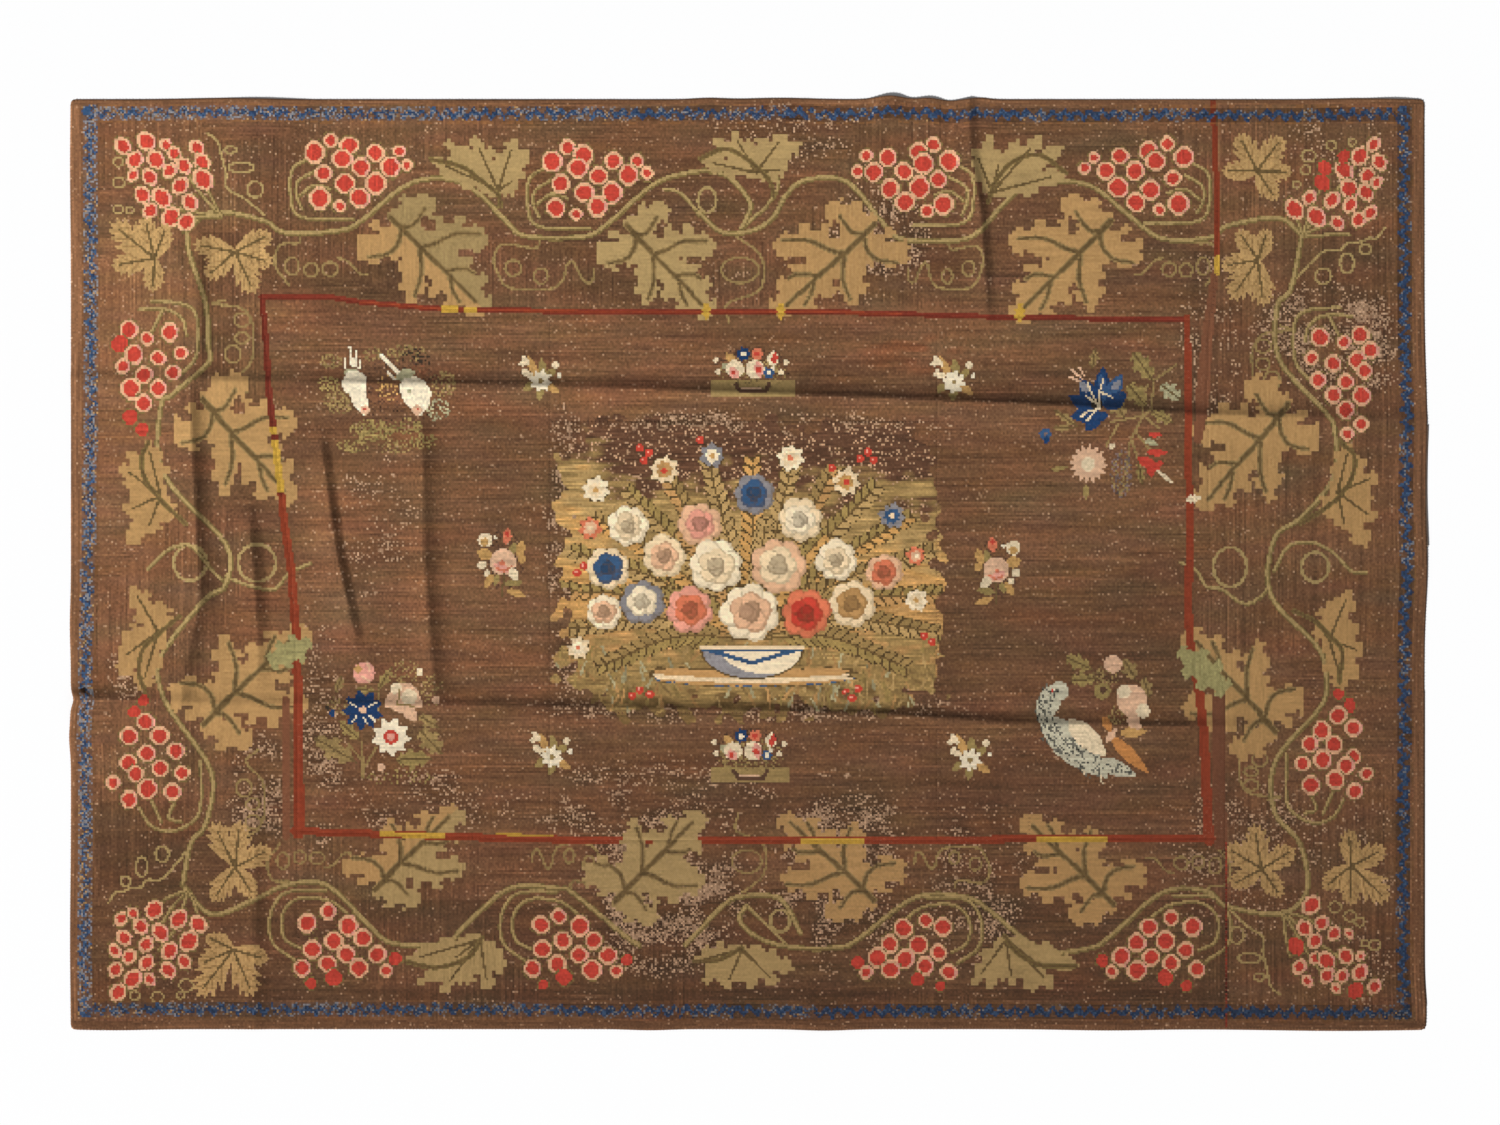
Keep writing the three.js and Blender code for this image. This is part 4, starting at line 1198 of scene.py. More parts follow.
def rose(centre, radius, outer, inner, random):
    disc(centre, radius * 1.02, wools["vein"] * 0.7, share=0.8)
    for reach, count, share in ((0.64, 7, 0.42), (0.36, 5, 0.36), (0.14, 3, 0.24)):
        turn = random.uniform(0, 6)
        for i in range(count):
            angle = turn + 2 * math.pi * i / count
            place = np.array(centre) + radius * reach * np.array([math.cos(angle), math.sin(angle)])
            petalRadius = radius * share * random.uniform(0.85, 1.12)
            colour = wools[outer if reach > 0.5 else inner] * (0.6 if reach < 0.2 else 1)
            disc(place, petalRadius + 1, colour * 0.66 + wools["tan"] * 0.08)
            disc(place - [0.9, 1.0], petalRadius - 0.7, colour * random.uniform(0.92, 1.08), vary=0.05)


def openFlower(centre, radius, count, outer, inner, eye, random):
    disc(centre, radius * 0.9, wools["vein"] * 0.6, share=0.7)
    for reach, name, shift in ((1.0, outer, 0.0), (0.62, inner, 0.5)):
        for i in range(count):
            angle = 0.2 + 2 * math.pi * (i + shift) / count
            length = radius * reach * random.uniform(0.88, 1.1)
            tip = (centre[0] + length * math.cos(angle), centre[1] + length * math.sin(angle))
            half = radius * reach * math.sin(math.pi / count) * 0.86
            petal(centre, tip, half, wools[name] * random.uniform(0.86, 1.05), 0.08)
    disc(centre, radius * 0.2, wools[eye])


def workBowl(centre, half, deep):
    window = around([centre], half + 4)
    u, v = stitchU[window] - centre[0], (stitchV[window] - centre[1]) / deep
    inside = (np.hypot(u, v) < half) & (v > 0)
    paint(window, (np.hypot(u, v) < half + 2.4) & (v > 0), wools["vein"] * 0.8)
    paint(window, inside, wools["white"], 0.05)
    paint(window, inside & (np.hypot(u - half * 0.3, v + 4) > half * 0.95), wools["paleBlue"] * 1.2, 0.08)
    paint(window, inside & (np.abs(np.abs(u) * 0.5 + v - half * 0.5) < 3.5), wools["midBlue"], 0.08)
    stroke([(centre[0] - half, centre[1]), (centre[0] + half, centre[1])], 5, wools["cream"], 0.05)
    stroke([(centre[0] - half, centre[1] + 3), (centre[0] + half, centre[1] + 3)], 1.9, wools["midBlue"])


def workCloth(centre, wide, high):
    window = around([centre], wide + 8)
    u, v = (stitchU[window] - centre[0]) / wide, (stitchV[window] - centre[1]) / high
    away = u ** 6 + np.abs(v + 0.5 * u ** 2) ** 3 + 0.16 * softNoise(3, 1, 117)[window]
    paint(window, away < 1.3, wools["vein"] * 0.8, 0.1)
    paint(window, (away < 1.15) & (v > 0), wools["midBlue"], 0.1)
    paint(window, away < 0.95, wools["tan"] * 1.1, 0.06)
    paint(window, (away < 0.95) & (np.abs(v + 0.5 * u ** 2 - 0.3) < 0.3), wools["cream"], 0.08)


def workMiddle():
    (left, top), (right, bottom) = middle["low"], middle["high"]
    window = around([middle["low"], middle["high"]], 12)
    u, v = stitchU[window], stitchV[window]
    ragged = middle["ragged"] * softNoise(4, 4, 111)[window]
    away = np.hypot(np.maximum(0, np.abs(u - (left + right) / 2) - ((right - left) / 2 - middle["round"])),
                    np.maximum(0, np.abs(v - (top + bottom) / 2) - ((bottom - top) / 2 - middle["round"])))
    inside = away + ragged < middle["round"]
    before = chart["wool"][window].copy()
    level = v + 11 * softNoise(16, 2, 112)[window] + 9 * softNoise(5, 4, 113)[window]
    level = np.clip(level + 44 * np.clip((640 - u) / 50, 0, 1) * np.clip((560 - v) / 60, 0, 1), top, bottom)
    heights, names = zip(*middle["layers"])
    channels = np.array([wools[name] for name in names]).T
    colour = np.stack([np.interp(level, heights, channel) for channel in channels], -1)
    mottle = 0.16 * softNoise(6, 1, 114)[window] + 0.1 * softNoise(20, 1, 115)[window] + 0.1 * jitter[window]
    chart["wool"][window][:] = colour * np.exp(mottle)[:, :, None]
    paint(window, (speckle[window] < middle["specks"]) & (level < 500), wools["canvas"] * 0.7, 0.2)
    random = np.random.default_rng(116)
    foot = np.array(middle["foot"], float)
    for _ in range(middle["tufts"]):
        name = random.choice(["sage", "leaf", "olive", "tan", "greyGreen"])
        start = np.array([random.uniform(left - 4, right + 4), random.uniform(650, bottom + 6)])
        end = start + [random.normal(0, 5), -random.uniform(8, 18)]
        stroke([start, end], [3.2, 1.9], wools[name] * random.uniform(0.6, 1.1), 0.1)
    for turn, reach, name, shadeName in middle["fronds"]:
        angle = math.radians(turn)
        tip = foot + [reach * math.sin(angle), -reach * math.cos(angle) * middle["flat"]]
        bend = (foot + tip) / 2 + [0, -16 * abs(math.sin(angle))]
        frond(curve([foot, bend, tip], 9), name, shadeName, random)
    for u, v, *given in middle["blooms"]:
        openFlower((u, v), *given, random)
    workCloth(*middle["cloth"])
    workBowl(*middle["bowl"])
    for u, v, *given in middle["roses"]:
        rose((u, v), *given, random)
    for centre in np.reshape(middle["berries"], (-1, 2)):
        disc(centre, 4.0, wools["coral"])
        disc((centre[0] - 1, centre[1] - 1), 1.3, wools["pink"])
    chart["wool"][window] *= middle["bright"]
    chart["wool"][window] *= middle["warm"]
    chart["wool"][window][~inside] = before[~inside]
    chart["worn"][window][inside] *= 0.5


def soilCreases():
    # Painted shade: the wool is made a little darker on the steep flank behind each crest, where the creases
    # lie in shade
    x, y = fromPhoto(stitchU, stitchV)
    for creases, along, across in ((creasesAlongX, x, y), (creasesAlongY, y, x)):
        for crease in creases:
            points = np.array(crease["points"]) * mm
            off = (across - np.interp(along, points[:, 0], points[:, 1])) / (crease["steep"] * mm)
            depth = np.clip(np.interp(along, points[:, 0], points[:, 2]) / (6 * mm), 0, 1)
            amount = np.clip(1 - off, 0, 1) * (off > -0.1) * depth
            chart["wool"] *= np.exp(-ground["creaseShade"] * amount)[:, :, None]


def fadeAll():
    # Painted light: paler towards the left and the upper end, darker towards the right and the lower end, as
    # the light falls off; the lower end is also made less green and blue
    acrossShare = (stitchU - photo["centre"][0]) / (photo["span"] / 2)
    upShare = (photo["centre"][1] - stitchV) / (width / pixel / 2)
    chart["wool"] *= np.exp(ground["lightFallX"] * acrossShare + ground["lightFallY"] * upShare)[:, :, None]
    chart["wool"] *= 1 - np.clip(-upShare, 0, 1)[:, :, None] * ground["lowerWarmth"]


def workChart():
    layGround()
    workHem()
    wearGround()
    stainGround()
    workVine()
    workBunches()
    workHalfLeaves()
    workCornerLeaves()
    for number, place in enumerate(leaf["places"]):
        workLeaf(*place, number)
    workBand()
    workLeaf(*leaf["places"][leaf["overBand"]], leaf["overBand"])
    for baseU, baseV, tipU, tipV, half, name in leaf["tips"]:
        petal((baseU, baseV), (tipU, tipV), half, wools[name], 0.1, form="lobe", teeth=3, phase=0.2)
    workZigzag()
    workField()
    workMiddle()
    soilCreases()
    fadeAll()
    print("chart worked:", rows, "rows of", columns, "stitches")


workChart()


# Nodes for materials and for the sewing
def addNode(tree, kind, inputs=None, **settings):
    # A node with its settings; each input is linked to a socket or given a value
    node = tree.nodes.new(kind)
    for name, value in settings.items():
        setattr(node, name, value)
    for name, value in (inputs or {}).items():
        if isinstance(value, bpy.types.NodeSocket):
            tree.links.new(value, node.inputs[name])
        else:
            node.inputs[name].default_value = value
    return node


def addSockets(tree, way, *sockets):
    # Named inputs or outputs of a group, and their identifiers
    return {name: tree.interface.new_socket(name, in_out=way, socket_type="NodeSocket" + kind).identifier
            for name, kind in sockets}


def maths(tree, operation, first, second=None, clamp=False):
    inputs = {0: first} if second is None else {0: first, 1: second}
    return addNode(tree, "ShaderNodeMath", inputs, operation=operation, use_clamp=clamp).outputs[0]


def mixColour(tree, blend, factor, first, second):
    inputs = {"Factor": factor, "A": first, "B": second}
    return addNode(tree, "ShaderNodeMix", inputs, data_type="RGBA", blend_type=blend).outputs["Result"]


def crossStitchGroup():
    # Two crossed arms of wool over each cell of the canvas
    tree = bpy.data.node_groups.new("Cross stitch", "ShaderNodeTree")
    addSockets(tree, "INPUT", ("Stitches", "Vector"), ("Fibre", "Float"))
    addSockets(tree, "OUTPUT", ("Height", "Float"), ("Shade", "Float"))
    given = addNode(tree, "NodeGroupInput").outputs
    split = addNode(tree, "ShaderNodeSeparateXYZ", {0: given["Stitches"]}).outputs
    cellX, cellY = maths(tree, "FRACT", split["X"]), maths(tree, "FRACT", split["Y"])
    rising = maths(tree, "ABSOLUTE", maths(tree, "SUBTRACT", cellX, cellY))
    falling = maths(tree, "ABSOLUTE", maths(tree, "SUBTRACT", maths(tree, "ADD", cellX, cellY), 1.0))
    under = maths(tree, "SUBTRACT", 0.8, maths(tree, "MULTIPLY", rising, 1.7))
    over = maths(tree, "SUBTRACT", 1.0, maths(tree, "MULTIPLY", falling, 1.7))
    arms = maths(tree, "MAXIMUM", maths(tree, "MAXIMUM", under, over), 0.12)
    noise = addNode(tree, "ShaderNodeTexNoise", {"Vector": given["Stitches"], "Scale": 5.0, "Detail": 3.0})
    strands = maths(tree, "MULTIPLY", maths(tree, "SUBTRACT", noise.outputs["Fac"], 0.5), given["Fibre"])
    height = maths(tree, "ADD", arms, maths(tree, "MULTIPLY", strands, 0.5))
    # Painted shade: the colour is darker where the arms lie low, between them; the strands add uneven tone
    shade = maths(tree, "ADD", maths(tree, "MULTIPLY", arms, 0.42), maths(tree, "ADD", strands, 0.7))
    addNode(tree, "NodeGroupOutput", {"Height": height, "Shade": shade})
    return tree


def newMaterial(name, roughness, specular, sheen):
    material = bpy.data.materials.new(name)
    material.use_nodes = True
    shader = material.node_tree.nodes["Principled BSDF"]
    for socket, value in (("Roughness", roughness), ("Specular IOR Level", specular), ("Sheen Weight", sheen),
                          ("Sheen Roughness", 0.6)):
        shader.inputs[socket].default_value = value
    return material, material.node_tree, shader.inputs


def finish(tree, shader, colour, height, strength, distance):
    # Colour and bump of a material
    bump = addNode(tree, "ShaderNodeBump", {"Strength": strength, "Distance": distance, "Height": height})
    tree.links.new(colour, shader["Base Color"])
    tree.links.new(bump.outputs["Normal"], shader["Normal"])


needlework = {
    "surface": (0.95, 0.12, 0.06),  # roughness, specular, sheen
    "bump": 0.55,
    "bumpDepth": 0.0009,
    "fibre": 0.9,
    "bareThreads": 0.5,
}
crossStitch = crossStitchGroup()


def needleworkMaterial():
    material, tree, shader = newMaterial("needlework_wool", *needlework["surface"])
    colour = addNode(tree, "ShaderNodeAttribute", attribute_name="wool").outputs["Color"]
    worn = addNode(tree, "ShaderNodeAttribute", attribute_name="worn").outputs["Fac"]
    place = addNode(tree, "ShaderNodeUVMap", uv_map="Stitches").outputs["UV"]
    inputs = {"Stitches": place, "Fibre": needlework["fibre"]}
    stitch = addNode(tree, "ShaderNodeGroup", inputs, node_tree=crossStitch).outputs
    # the cross stitch's painted shade darkens the wool between its arms
    shaded = mixColour(tree, "MULTIPLY", 1.0, colour, stitch["Shade"])
    inputs = {"Vector": place, "Scale": 0.9, "Detail": 3.0, "Roughness": 0.8}
    threads = addNode(tree, "ShaderNodeTexNoise", inputs).outputs["Fac"]
    bare = maths(tree, "MULTIPLY", maths(tree, "SUBTRACT", threads, 0.58), 9.0, clamp=True)
    bare = maths(tree, "MULTIPLY", maths(tree, "MULTIPLY", bare, worn), needlework["bareThreads"])
    shaded = mixColour(tree, "MIX", bare, shaded, (*wools["canvas"], 1.0))
    finish(tree, shader, shaded, stitch["Height"], needlework["bump"], needlework["bumpDepth"])
    return material


def wovenMaterial(name, colour, threadsPerMetre, contrast):
    # A plain weave on the piece's own coordinates
    material, tree, shader = newMaterial(name, 0.92, 0.15, 0.05)
    place = addNode(tree, "ShaderNodeTexCoord").outputs["Object"]
    split = addNode(tree, "ShaderNodeSeparateXYZ", {0: place}).outputs
    waves = [maths(tree, "MULTIPLY", split[axis], threadsPerMetre * math.pi) for axis in "XY"]
    weft, warp = (maths(tree, "ABSOLUTE", maths(tree, "SINE", wave)) for wave in waves)
    weave = maths(tree, "MULTIPLY", weft, warp)
    inputs = {"Vector": place, "Scale": 60.0, "Detail": 4.0}
    noise = addNode(tree, "ShaderNodeTexNoise", inputs).outputs["Fac"]
    shade = maths(tree, "ADD", maths(tree, "MULTIPLY", noise, 0.5), 0.55 - contrast / 2)
    shade = maths(tree, "ADD", maths(tree, "MULTIPLY", weave, contrast), shade)
    shaded = mixColour(tree, "MULTIPLY", 1.0, (*colour, 1.0), shade)
    finish(tree, shader, shaded, weave, 0.5, 0.0005)
    return material


def plainMaterial(name, colour, roughness=0.95, specular=0.1, sheen=0.05):
    material, tree, shader = newMaterial(name, roughness, specular, sheen)
    shader["Base Color"].default_value = (*colour, 1.0)
    return material


woolMaterial = needleworkMaterial()
canvasMaterial = wovenMaterial("linen_canvas", wool(150, 122, 92), 480, 0.35)
hemMaterial = wovenMaterial("turned_hem", wool(104, 74, 52), 240, 0.3)
print("materials made")


def placeObject(name, data):
    made = bpy.data.objects.new(name, data)
    bpy.context.scene.collection.objects.link(made)
    return made


def meshObject(name, vertices, faces, material):
    # Faces are rows of four corners
    mesh = bpy.data.meshes.new(name)
    mesh.vertices.add(len(vertices))
    mesh.vertices.foreach_set("co", np.asarray(vertices, np.float32).ravel())
    mesh.loops.add(faces.size)
    mesh.loops.foreach_set("vertex_index", faces.astype(np.int32).ravel())
    mesh.polygons.add(len(faces))
    mesh.polygons.foreach_set("loop_start", np.arange(0, faces.size, 4, dtype=np.int32))
    mesh.polygons.foreach_set("use_smooth", np.ones(len(faces), bool))
    mesh.update(calc_edges=True)
    mesh.materials.append(material)
    return placeObject(name, mesh)


# The panels that the rug is sewn from, by their joins in the photograph's pixels
joins = {
    "left": [(258, 97), (261, 297), (272, 418), (291, 569), (298, 700), (298, 1030)],
    "right": [(1217, 97), (1217, 265), (1209, 330), (1207, 400), (1209, 500), (1213, 640), (1226, 697),
              (1226, 1030)],
    "top": band["top"],
    "bottom": band["bottom"],
    "middle": ((550, 938), (422, 713)),  # sides, then upper and lower end
    "cutRow": 563,  # the long panels are made in two pieces here, without a join
    "cutColumn": 745,
}


def panelNumbers():
    # Which panel each stitch is part of, as its place in panelNames
    left, right = (np.interp(stitchV, *np.array(joins[side])[:, ::-1].T) for side in ("left", "right"))
    top, bottom = (np.interp(stitchU, *np.array(joins[side]).T) for side in ("top", "bottom"))
    (middleLeft, middleRight), (middleTop, middleBottom) = joins["middle"]
    upper, leftHalf = stitchV < joins["cutRow"], stitchU < joins["cutColumn"]
    inMiddle = (stitchU >= middleLeft) & (stitchU <= middleRight)
    inMiddle &= (stitchV >= middleTop) & (stitchV <= middleBottom)
    numbers = [
        (stitchU > right, np.where(upper, 2, 3)), (stitchU < left, np.where(upper, 0, 1)),
        (stitchV > bottom, np.where(leftHalf, 6, 7)), (stitchV < top, np.where(leftHalf, 4, 5)),
        (inMiddle, 12), (stitchU < middleLeft, 8), (stitchU > middleRight, 9),
    ]
    return np.select(*zip(*numbers), np.where(upper, 10, 11))


panelNames = [
    "left_border_upper", "left_border_lower", "right_border_upper", "right_border_lower",
    "top_border_left", "top_border_right", "bottom_border_left", "bottom_border_right",
    "field_left", "field_right", "field_upper", "field_lower", "middle_block",
]
# Pieces that are one panel of cloth, so that no join shows between them
samePanel = [0, 0, 1, 1, 2, 2, 3, 3, 4, 5, 6, 7, 8]


def spanFully(values, size):
    low, high = values.min(), values.max()
    return ((values - low) / (high - low) - 0.5) * size


def gridPoints(step=1, shrink=0.0):
    # The corners of the stitches, as charted and in the worn outline
    across, up = columns // step, rows // step
    shareX, shareY = np.arange(across + 1) / across, np.arange(up + 1) / up
    x, y = np.meshgrid((shareX - 0.5) * length, (shareY - 0.5) * width)
    outX, outY = outlined(x, y)
    return x, y, spanFully(outX, length - 2 * shrink), spanFully(outY, width - 2 * shrink)


def rolledEdge(faces, vertices, heights, stitchMap, first, outward, count):
    # The wool of the rug's outermost stitches rolls over their outer side and tucks under it
    starts, ends = faces[:, first], faces[:, (first + 1) % 4]
    edge, places = np.unique(np.concatenate([starts, ends]), return_inverse=True)
    lower, under = vertices[edge].copy(), vertices[edge].copy()
    lower[:, 2] = heights[edge] + cloth["rimLow"]
    under[:, :2] -= outward * cloth["tuck"]
    under[:, 2] = heights[edge] + cloth["rimUnder"]
    lowStarts, lowEnds = count + places[:len(starts)], count + places[len(starts):]
    rings = [(starts, ends), (lowStarts, lowEnds), (lowStarts + len(edge), lowEnds + len(edge))]
    a, b, out = stitchMap[:, first], stitchMap[:, (first + 1) % 4], outward * 0.6
    newFaces = [np.stack([near[0], far[0], far[1], near[1]], axis=1) for near, far in zip(rings, rings[1:])]
    newMap = [
        np.stack([a + i * out, a + (i + 1) * out, b + (i + 1) * out, b + i * out], axis=1) for i in (0, 1)
    ]
    return [lower, under], newFaces, newMap


def buildPanels():
    x, y, outX, outY = gridPoints()
    number = panelNumbers()
    whole = np.array(samePanel)[number]
    joined = np.zeros(x.shape, bool)
    acrossJoin, downJoin = whole[:, 1:] != whole[:, :-1], whole[1:, :] != whole[:-1, :]
    for part, join in ((np.s_[:-1, 1:-1], acrossJoin), (np.s_[1:, 1:-1], acrossJoin),
                       (np.s_[1:-1, :-1], downJoin), (np.s_[1:-1, 1:], downJoin)):
        joined[part] |= join
    fuzz = cloth["fuzz"] * np.random.default_rng(121).standard_normal(x.shape)
    patchy = np.pad(softNoise(10, 10, 122), ((0, 1), (0, 1)), mode="edge")
    base = rise(x, y)
    z = base + cloth["top"] + fuzz + cloth["swell"] * patchy - np.where(joined, cloth["seamDepth"], 0)
    atColumn, atRow = np.arange(columns + 1)[None, :], np.arange(rows + 1)[:, None]
    rim = np.minimum(np.minimum(atColumn, columns - atColumn), np.minimum(atRow, rows - atRow))
    for steps, level in enumerate(cloth["rims"]):
        z = np.where(rim == steps, base + level, z)
    pieces = []
    for index, name in enumerate(panelNames):
        cellRows, cellColumns = np.nonzero(number == index)
        corner = cellRows * (columns + 1) + cellColumns
        corners = np.stack([corner, corner + 1, corner + columns + 2, corner + columns + 1], axis=1)
        used, faces = np.unique(corners, return_inverse=True)
        faces = faces.reshape(corners.shape)
        points = np.stack([outX.ravel()[used], outY.ravel()[used], z.ravel()[used]], axis=1)
        colours, worn = chart["wool"][cellRows, cellColumns], chart["worn"][cellRows, cellColumns]
        stitchMap = np.stack([cellColumns, cellRows], axis=1)[:, None, :] + [(0, 0), (1, 0), (1, 1), (0, 1)]
        allPoints, allFaces, allColours, allWorn, allMaps = [points], [faces], [colours], [worn], [stitchMap]
        for first, isRim, outward in ((0, cellRows == 0, (0, -1)), (1, cellColumns == columns - 1, (1, 0)),
                                      (2, cellRows == rows - 1, (0, 1)), (3, cellColumns == 0, (-1, 0))):
            if isRim.any():
                newPoints, newFaces, newMaps = rolledEdge(
                    faces[isRim], points, base.ravel()[used], stitchMap[isRim], first, np.array(outward),
                    sum(map(len, allPoints)))
                allPoints += newPoints
                allFaces += newFaces
                allMaps += newMaps
                # Painted shade: the wool that turns down over the edge is coloured 0.9 as bright, and the
                # part tucked under it 0.75
                allColours += [colours[isRim] * 0.9, colours[isRim] * 0.75]
                allWorn += [worn[isRim], worn[isRim]]
        piece = meshObject(name, np.concatenate(allPoints), np.concatenate(allFaces), woolMaterial)
        mesh, stitchMap = piece.data, np.concatenate(allMaps)
        rgba = np.ones((len(stitchMap), 4, 4), np.float32)
        rgba[:, :, :3] = np.clip(np.concatenate(allColours), 0.002, 0.9)[:, None, :]
        mesh.attributes.new("wool", "FLOAT_COLOR", "CORNER").data.foreach_set("color", rgba.ravel())
        allWorn = np.concatenate(allWorn).astype(np.float32)
        mesh.attributes.new("worn", "FLOAT", "FACE").data.foreach_set("value", allWorn)
        low, high = stitchMap.reshape(-1, 2).min(axis=0), stitchMap.reshape(-1, 2).max(axis=0)
        for layer, uv in (("Stitches", stitchMap), ("OFBake", (stitchMap - low) / (high - low))):
            mesh.uv_layers.new(name=layer).data.foreach_set("uv", uv.astype(np.float32).ravel())
        pieces.append(piece)
    print("panels sewn:", len(pieces))
    return pieces


def sheetMesh(name, step, bottom, top, shrink, material):
    # A thin closed sheet that follows the creases, a stitch or more below the wool
    x, y, outX, outY = gridPoints(step, shrink)
    base = np.pad(rise(x, y), 1, mode="edge")
    base = np.min([base[j:j + y.shape[0], i:i + x.shape[1]] for j in range(3) for i in range(3)], axis=0)
    layers = [np.stack([outX, outY, base + level], axis=-1).reshape(-1, 3) for level in (bottom, top)]
    count = x.size
    index = np.arange(count).reshape(x.shape)
    quads = np.stack([index[:-1, :-1], index[:-1, 1:], index[1:, 1:], index[1:, :-1]], axis=-1).reshape(-1, 4)
    faces = [quads[:, ::-1], quads + count]
    for line in (index[0, :], index[:, -1], index[-1, ::-1], index[::-1, 0]):
        faces.append(np.stack([line[:-1], line[1:], line[1:] + count, line[:-1] + count], axis=1))
    return meshObject(name, np.concatenate(layers), np.concatenate(faces), material)


def rimLine():  # the rug's outline as worked, anticlockwise, with the height of its underside
    x, y, outX, outY = gridPoints()
    grid = np.stack([outX, outY, rise(x, y)], axis=-1)
    return np.concatenate([grid[0, :-1], grid[:-1, -1], grid[-1, :0:-1], grid[:0:-1, 0]])


def alongLine(points, step):  # evenly spaced places on a line, with the line's direction there
    points = np.asarray(points, float)
    reach = np.concatenate([[0], np.cumsum(np.hypot(*np.diff(points[:, :2], axis=0).T))])
    at = np.arange(step / 2, reach[-1], step)
    places = np.stack([np.interp(at, reach, points[:, i]) for i in range(points.shape[1])], axis=1)
    ahead = np.stack([np.interp(at + step / 4, reach, points[:, i]) for i in range(2)], axis=1)
    back = np.stack([np.interp(at - step / 4, reach, points[:, i]) for i in range(2)], axis=1)
    return places, np.arctan2(*(ahead - back).T[::-1])


def ribbon(name, line, outer, inner, bottom, top, material):
    # A closed strip beside a line of (x, y, height) points, between two distances to its right
    step = np.roll(line[:, :2], -1, axis=0) - np.roll(line[:, :2], 1, axis=0)
    closed = np.hypot(*(line[0, :2] - line[-1, :2])) < 0.01
    if not closed:
        step[0], step[-1] = line[1, :2] - line[0, :2], line[-1, :2] - line[-2, :2]
    right = np.stack([step[:, 1], -step[:, 0]], axis=1) / np.hypot(*step.T)[:, None]
    corners = []
    for distance, level in ((outer, bottom), (outer, top), (inner, top), (inner, bottom)):
        flat = line[:, :2] + right * distance
        limit = np.abs(line[:, :2]).max(axis=0) + max(outer, 0)
        if closed:
            limit = limit - (max(outer, 0) - distance)
        flat = np.clip(flat, -limit, limit)
        corners.append(np.column_stack([flat, line[:, 2] + level]))
    count = len(line)
    index = np.arange(count)
    start, end = (index, np.roll(index, -1)) if closed else (index[:-1], index[1:])
    faces = [np.stack([start + a * count, end + a * count, end + b * count, start + b * count], axis=1)
             for a, b in ((0, 1), (1, 2), (2, 3), (3, 0))]
    if not closed:
        faces += [np.array([[0, count, 2 * count, 3 * count]]),
                  np.array([[4 * count - 1, 3 * count - 1, 2 * count - 1, count - 1]])]
    return meshObject(name, np.concatenate(corners), np.concatenate(faces), material)


def threadObject(name, path, radius, sides=5):
    # One stitch: a thread along a path of (out, along, up) points, its ends drawn in
    path = np.array(path)
    count = len(path)
    step = np.gradient(path, axis=0)
    step /= np.linalg.norm(step, axis=1)[:, None]
    sideways = np.cross(step, (0, 0, 1))
    sideways /= np.maximum(np.linalg.norm(sideways, axis=1), 1e-6)[:, None]
    upward = np.cross(sideways, step)
    sizes = radius * np.array([0.35] + [1.0] * (count - 2) + [0.35])
    vertices = [
        tuple(point + size * (math.cos(a) * across + math.sin(a) * over))
        for point, size, across, over in zip(path, sizes, sideways, upward)
        for a in 2 * math.pi * np.arange(sides) / sides
    ]
    index = np.arange(count * sides).reshape(count, sides)
    near, far = np.roll(index, -1, axis=1)[:-1], np.roll(index, -1, axis=1)[1:]
    faces = np.stack([index[:-1], near, far, index[1:]], axis=-1).reshape(-1, 4).tolist()
    mesh = bpy.data.meshes.new(name)
    mesh.from_pydata(vertices, [], faces + [index[0, ::-1].tolist(), index[-1].tolist()])
    mesh.polygons.foreach_set("use_smooth", [True] * len(mesh.polygons))
    return placeObject(name, mesh)


def sewingTree():
    # One thread on every point, turned as the point says and a little uneven in size
    tree = bpy.data.node_groups.new("Sewing", "GeometryNodeTree")
    tree.is_modifier = True
    sockets = addSockets(tree, "INPUT", ("Places", "Geometry"), ("Thread", "Object"), ("Seed", "Int"),
                         ("Uneven", "Float"), ("Wool", "Material"))
    addSockets(tree, "OUTPUT", ("Stitches", "Geometry"))
    given = addNode(tree, "NodeGroupInput").outputs
    thread = addNode(tree, "GeometryNodeObjectInfo", {"Object": given["Thread"]}).outputs["Geometry"]
    turn = addNode(tree, "GeometryNodeInputNamedAttribute", {"Name": "turn"}, data_type="FLOAT_VECTOR")
    angles = next(socket for socket in turn.outputs if socket.type == "VECTOR")
    rotation = addNode(tree, "FunctionNodeEulerToRotation", {0: angles}).outputs[0]
    size = addNode(tree, "FunctionNodeRandomValue", {"Seed": given["Seed"]}, data_type="FLOAT")
    for name, operation in (("Min", "SUBTRACT"), ("Max", "ADD")):
        limit = next(socket for socket in size.inputs if socket.name == name and socket.type == "VALUE")
        tree.links.new(maths(tree, operation, 1.0, given["Uneven"]), limit)
    spread = next(socket for socket in size.outputs if socket.type == "VALUE")
    inputs = {"Points": given["Places"], "Instance": thread, "Rotation": rotation, "Scale": spread}
    instances = addNode(tree, "GeometryNodeInstanceOnPoints", inputs).outputs["Instances"]
    real = addNode(tree, "GeometryNodeRealizeInstances", {"Geometry": instances}).outputs["Geometry"]
    coloured = addNode(tree, "GeometryNodeSetMaterial", {"Geometry": real, "Material": given["Wool"]})
    addNode(tree, "NodeGroupOutput", {"Stitches": coloured.outputs["Geometry"]})
    return tree, sockets


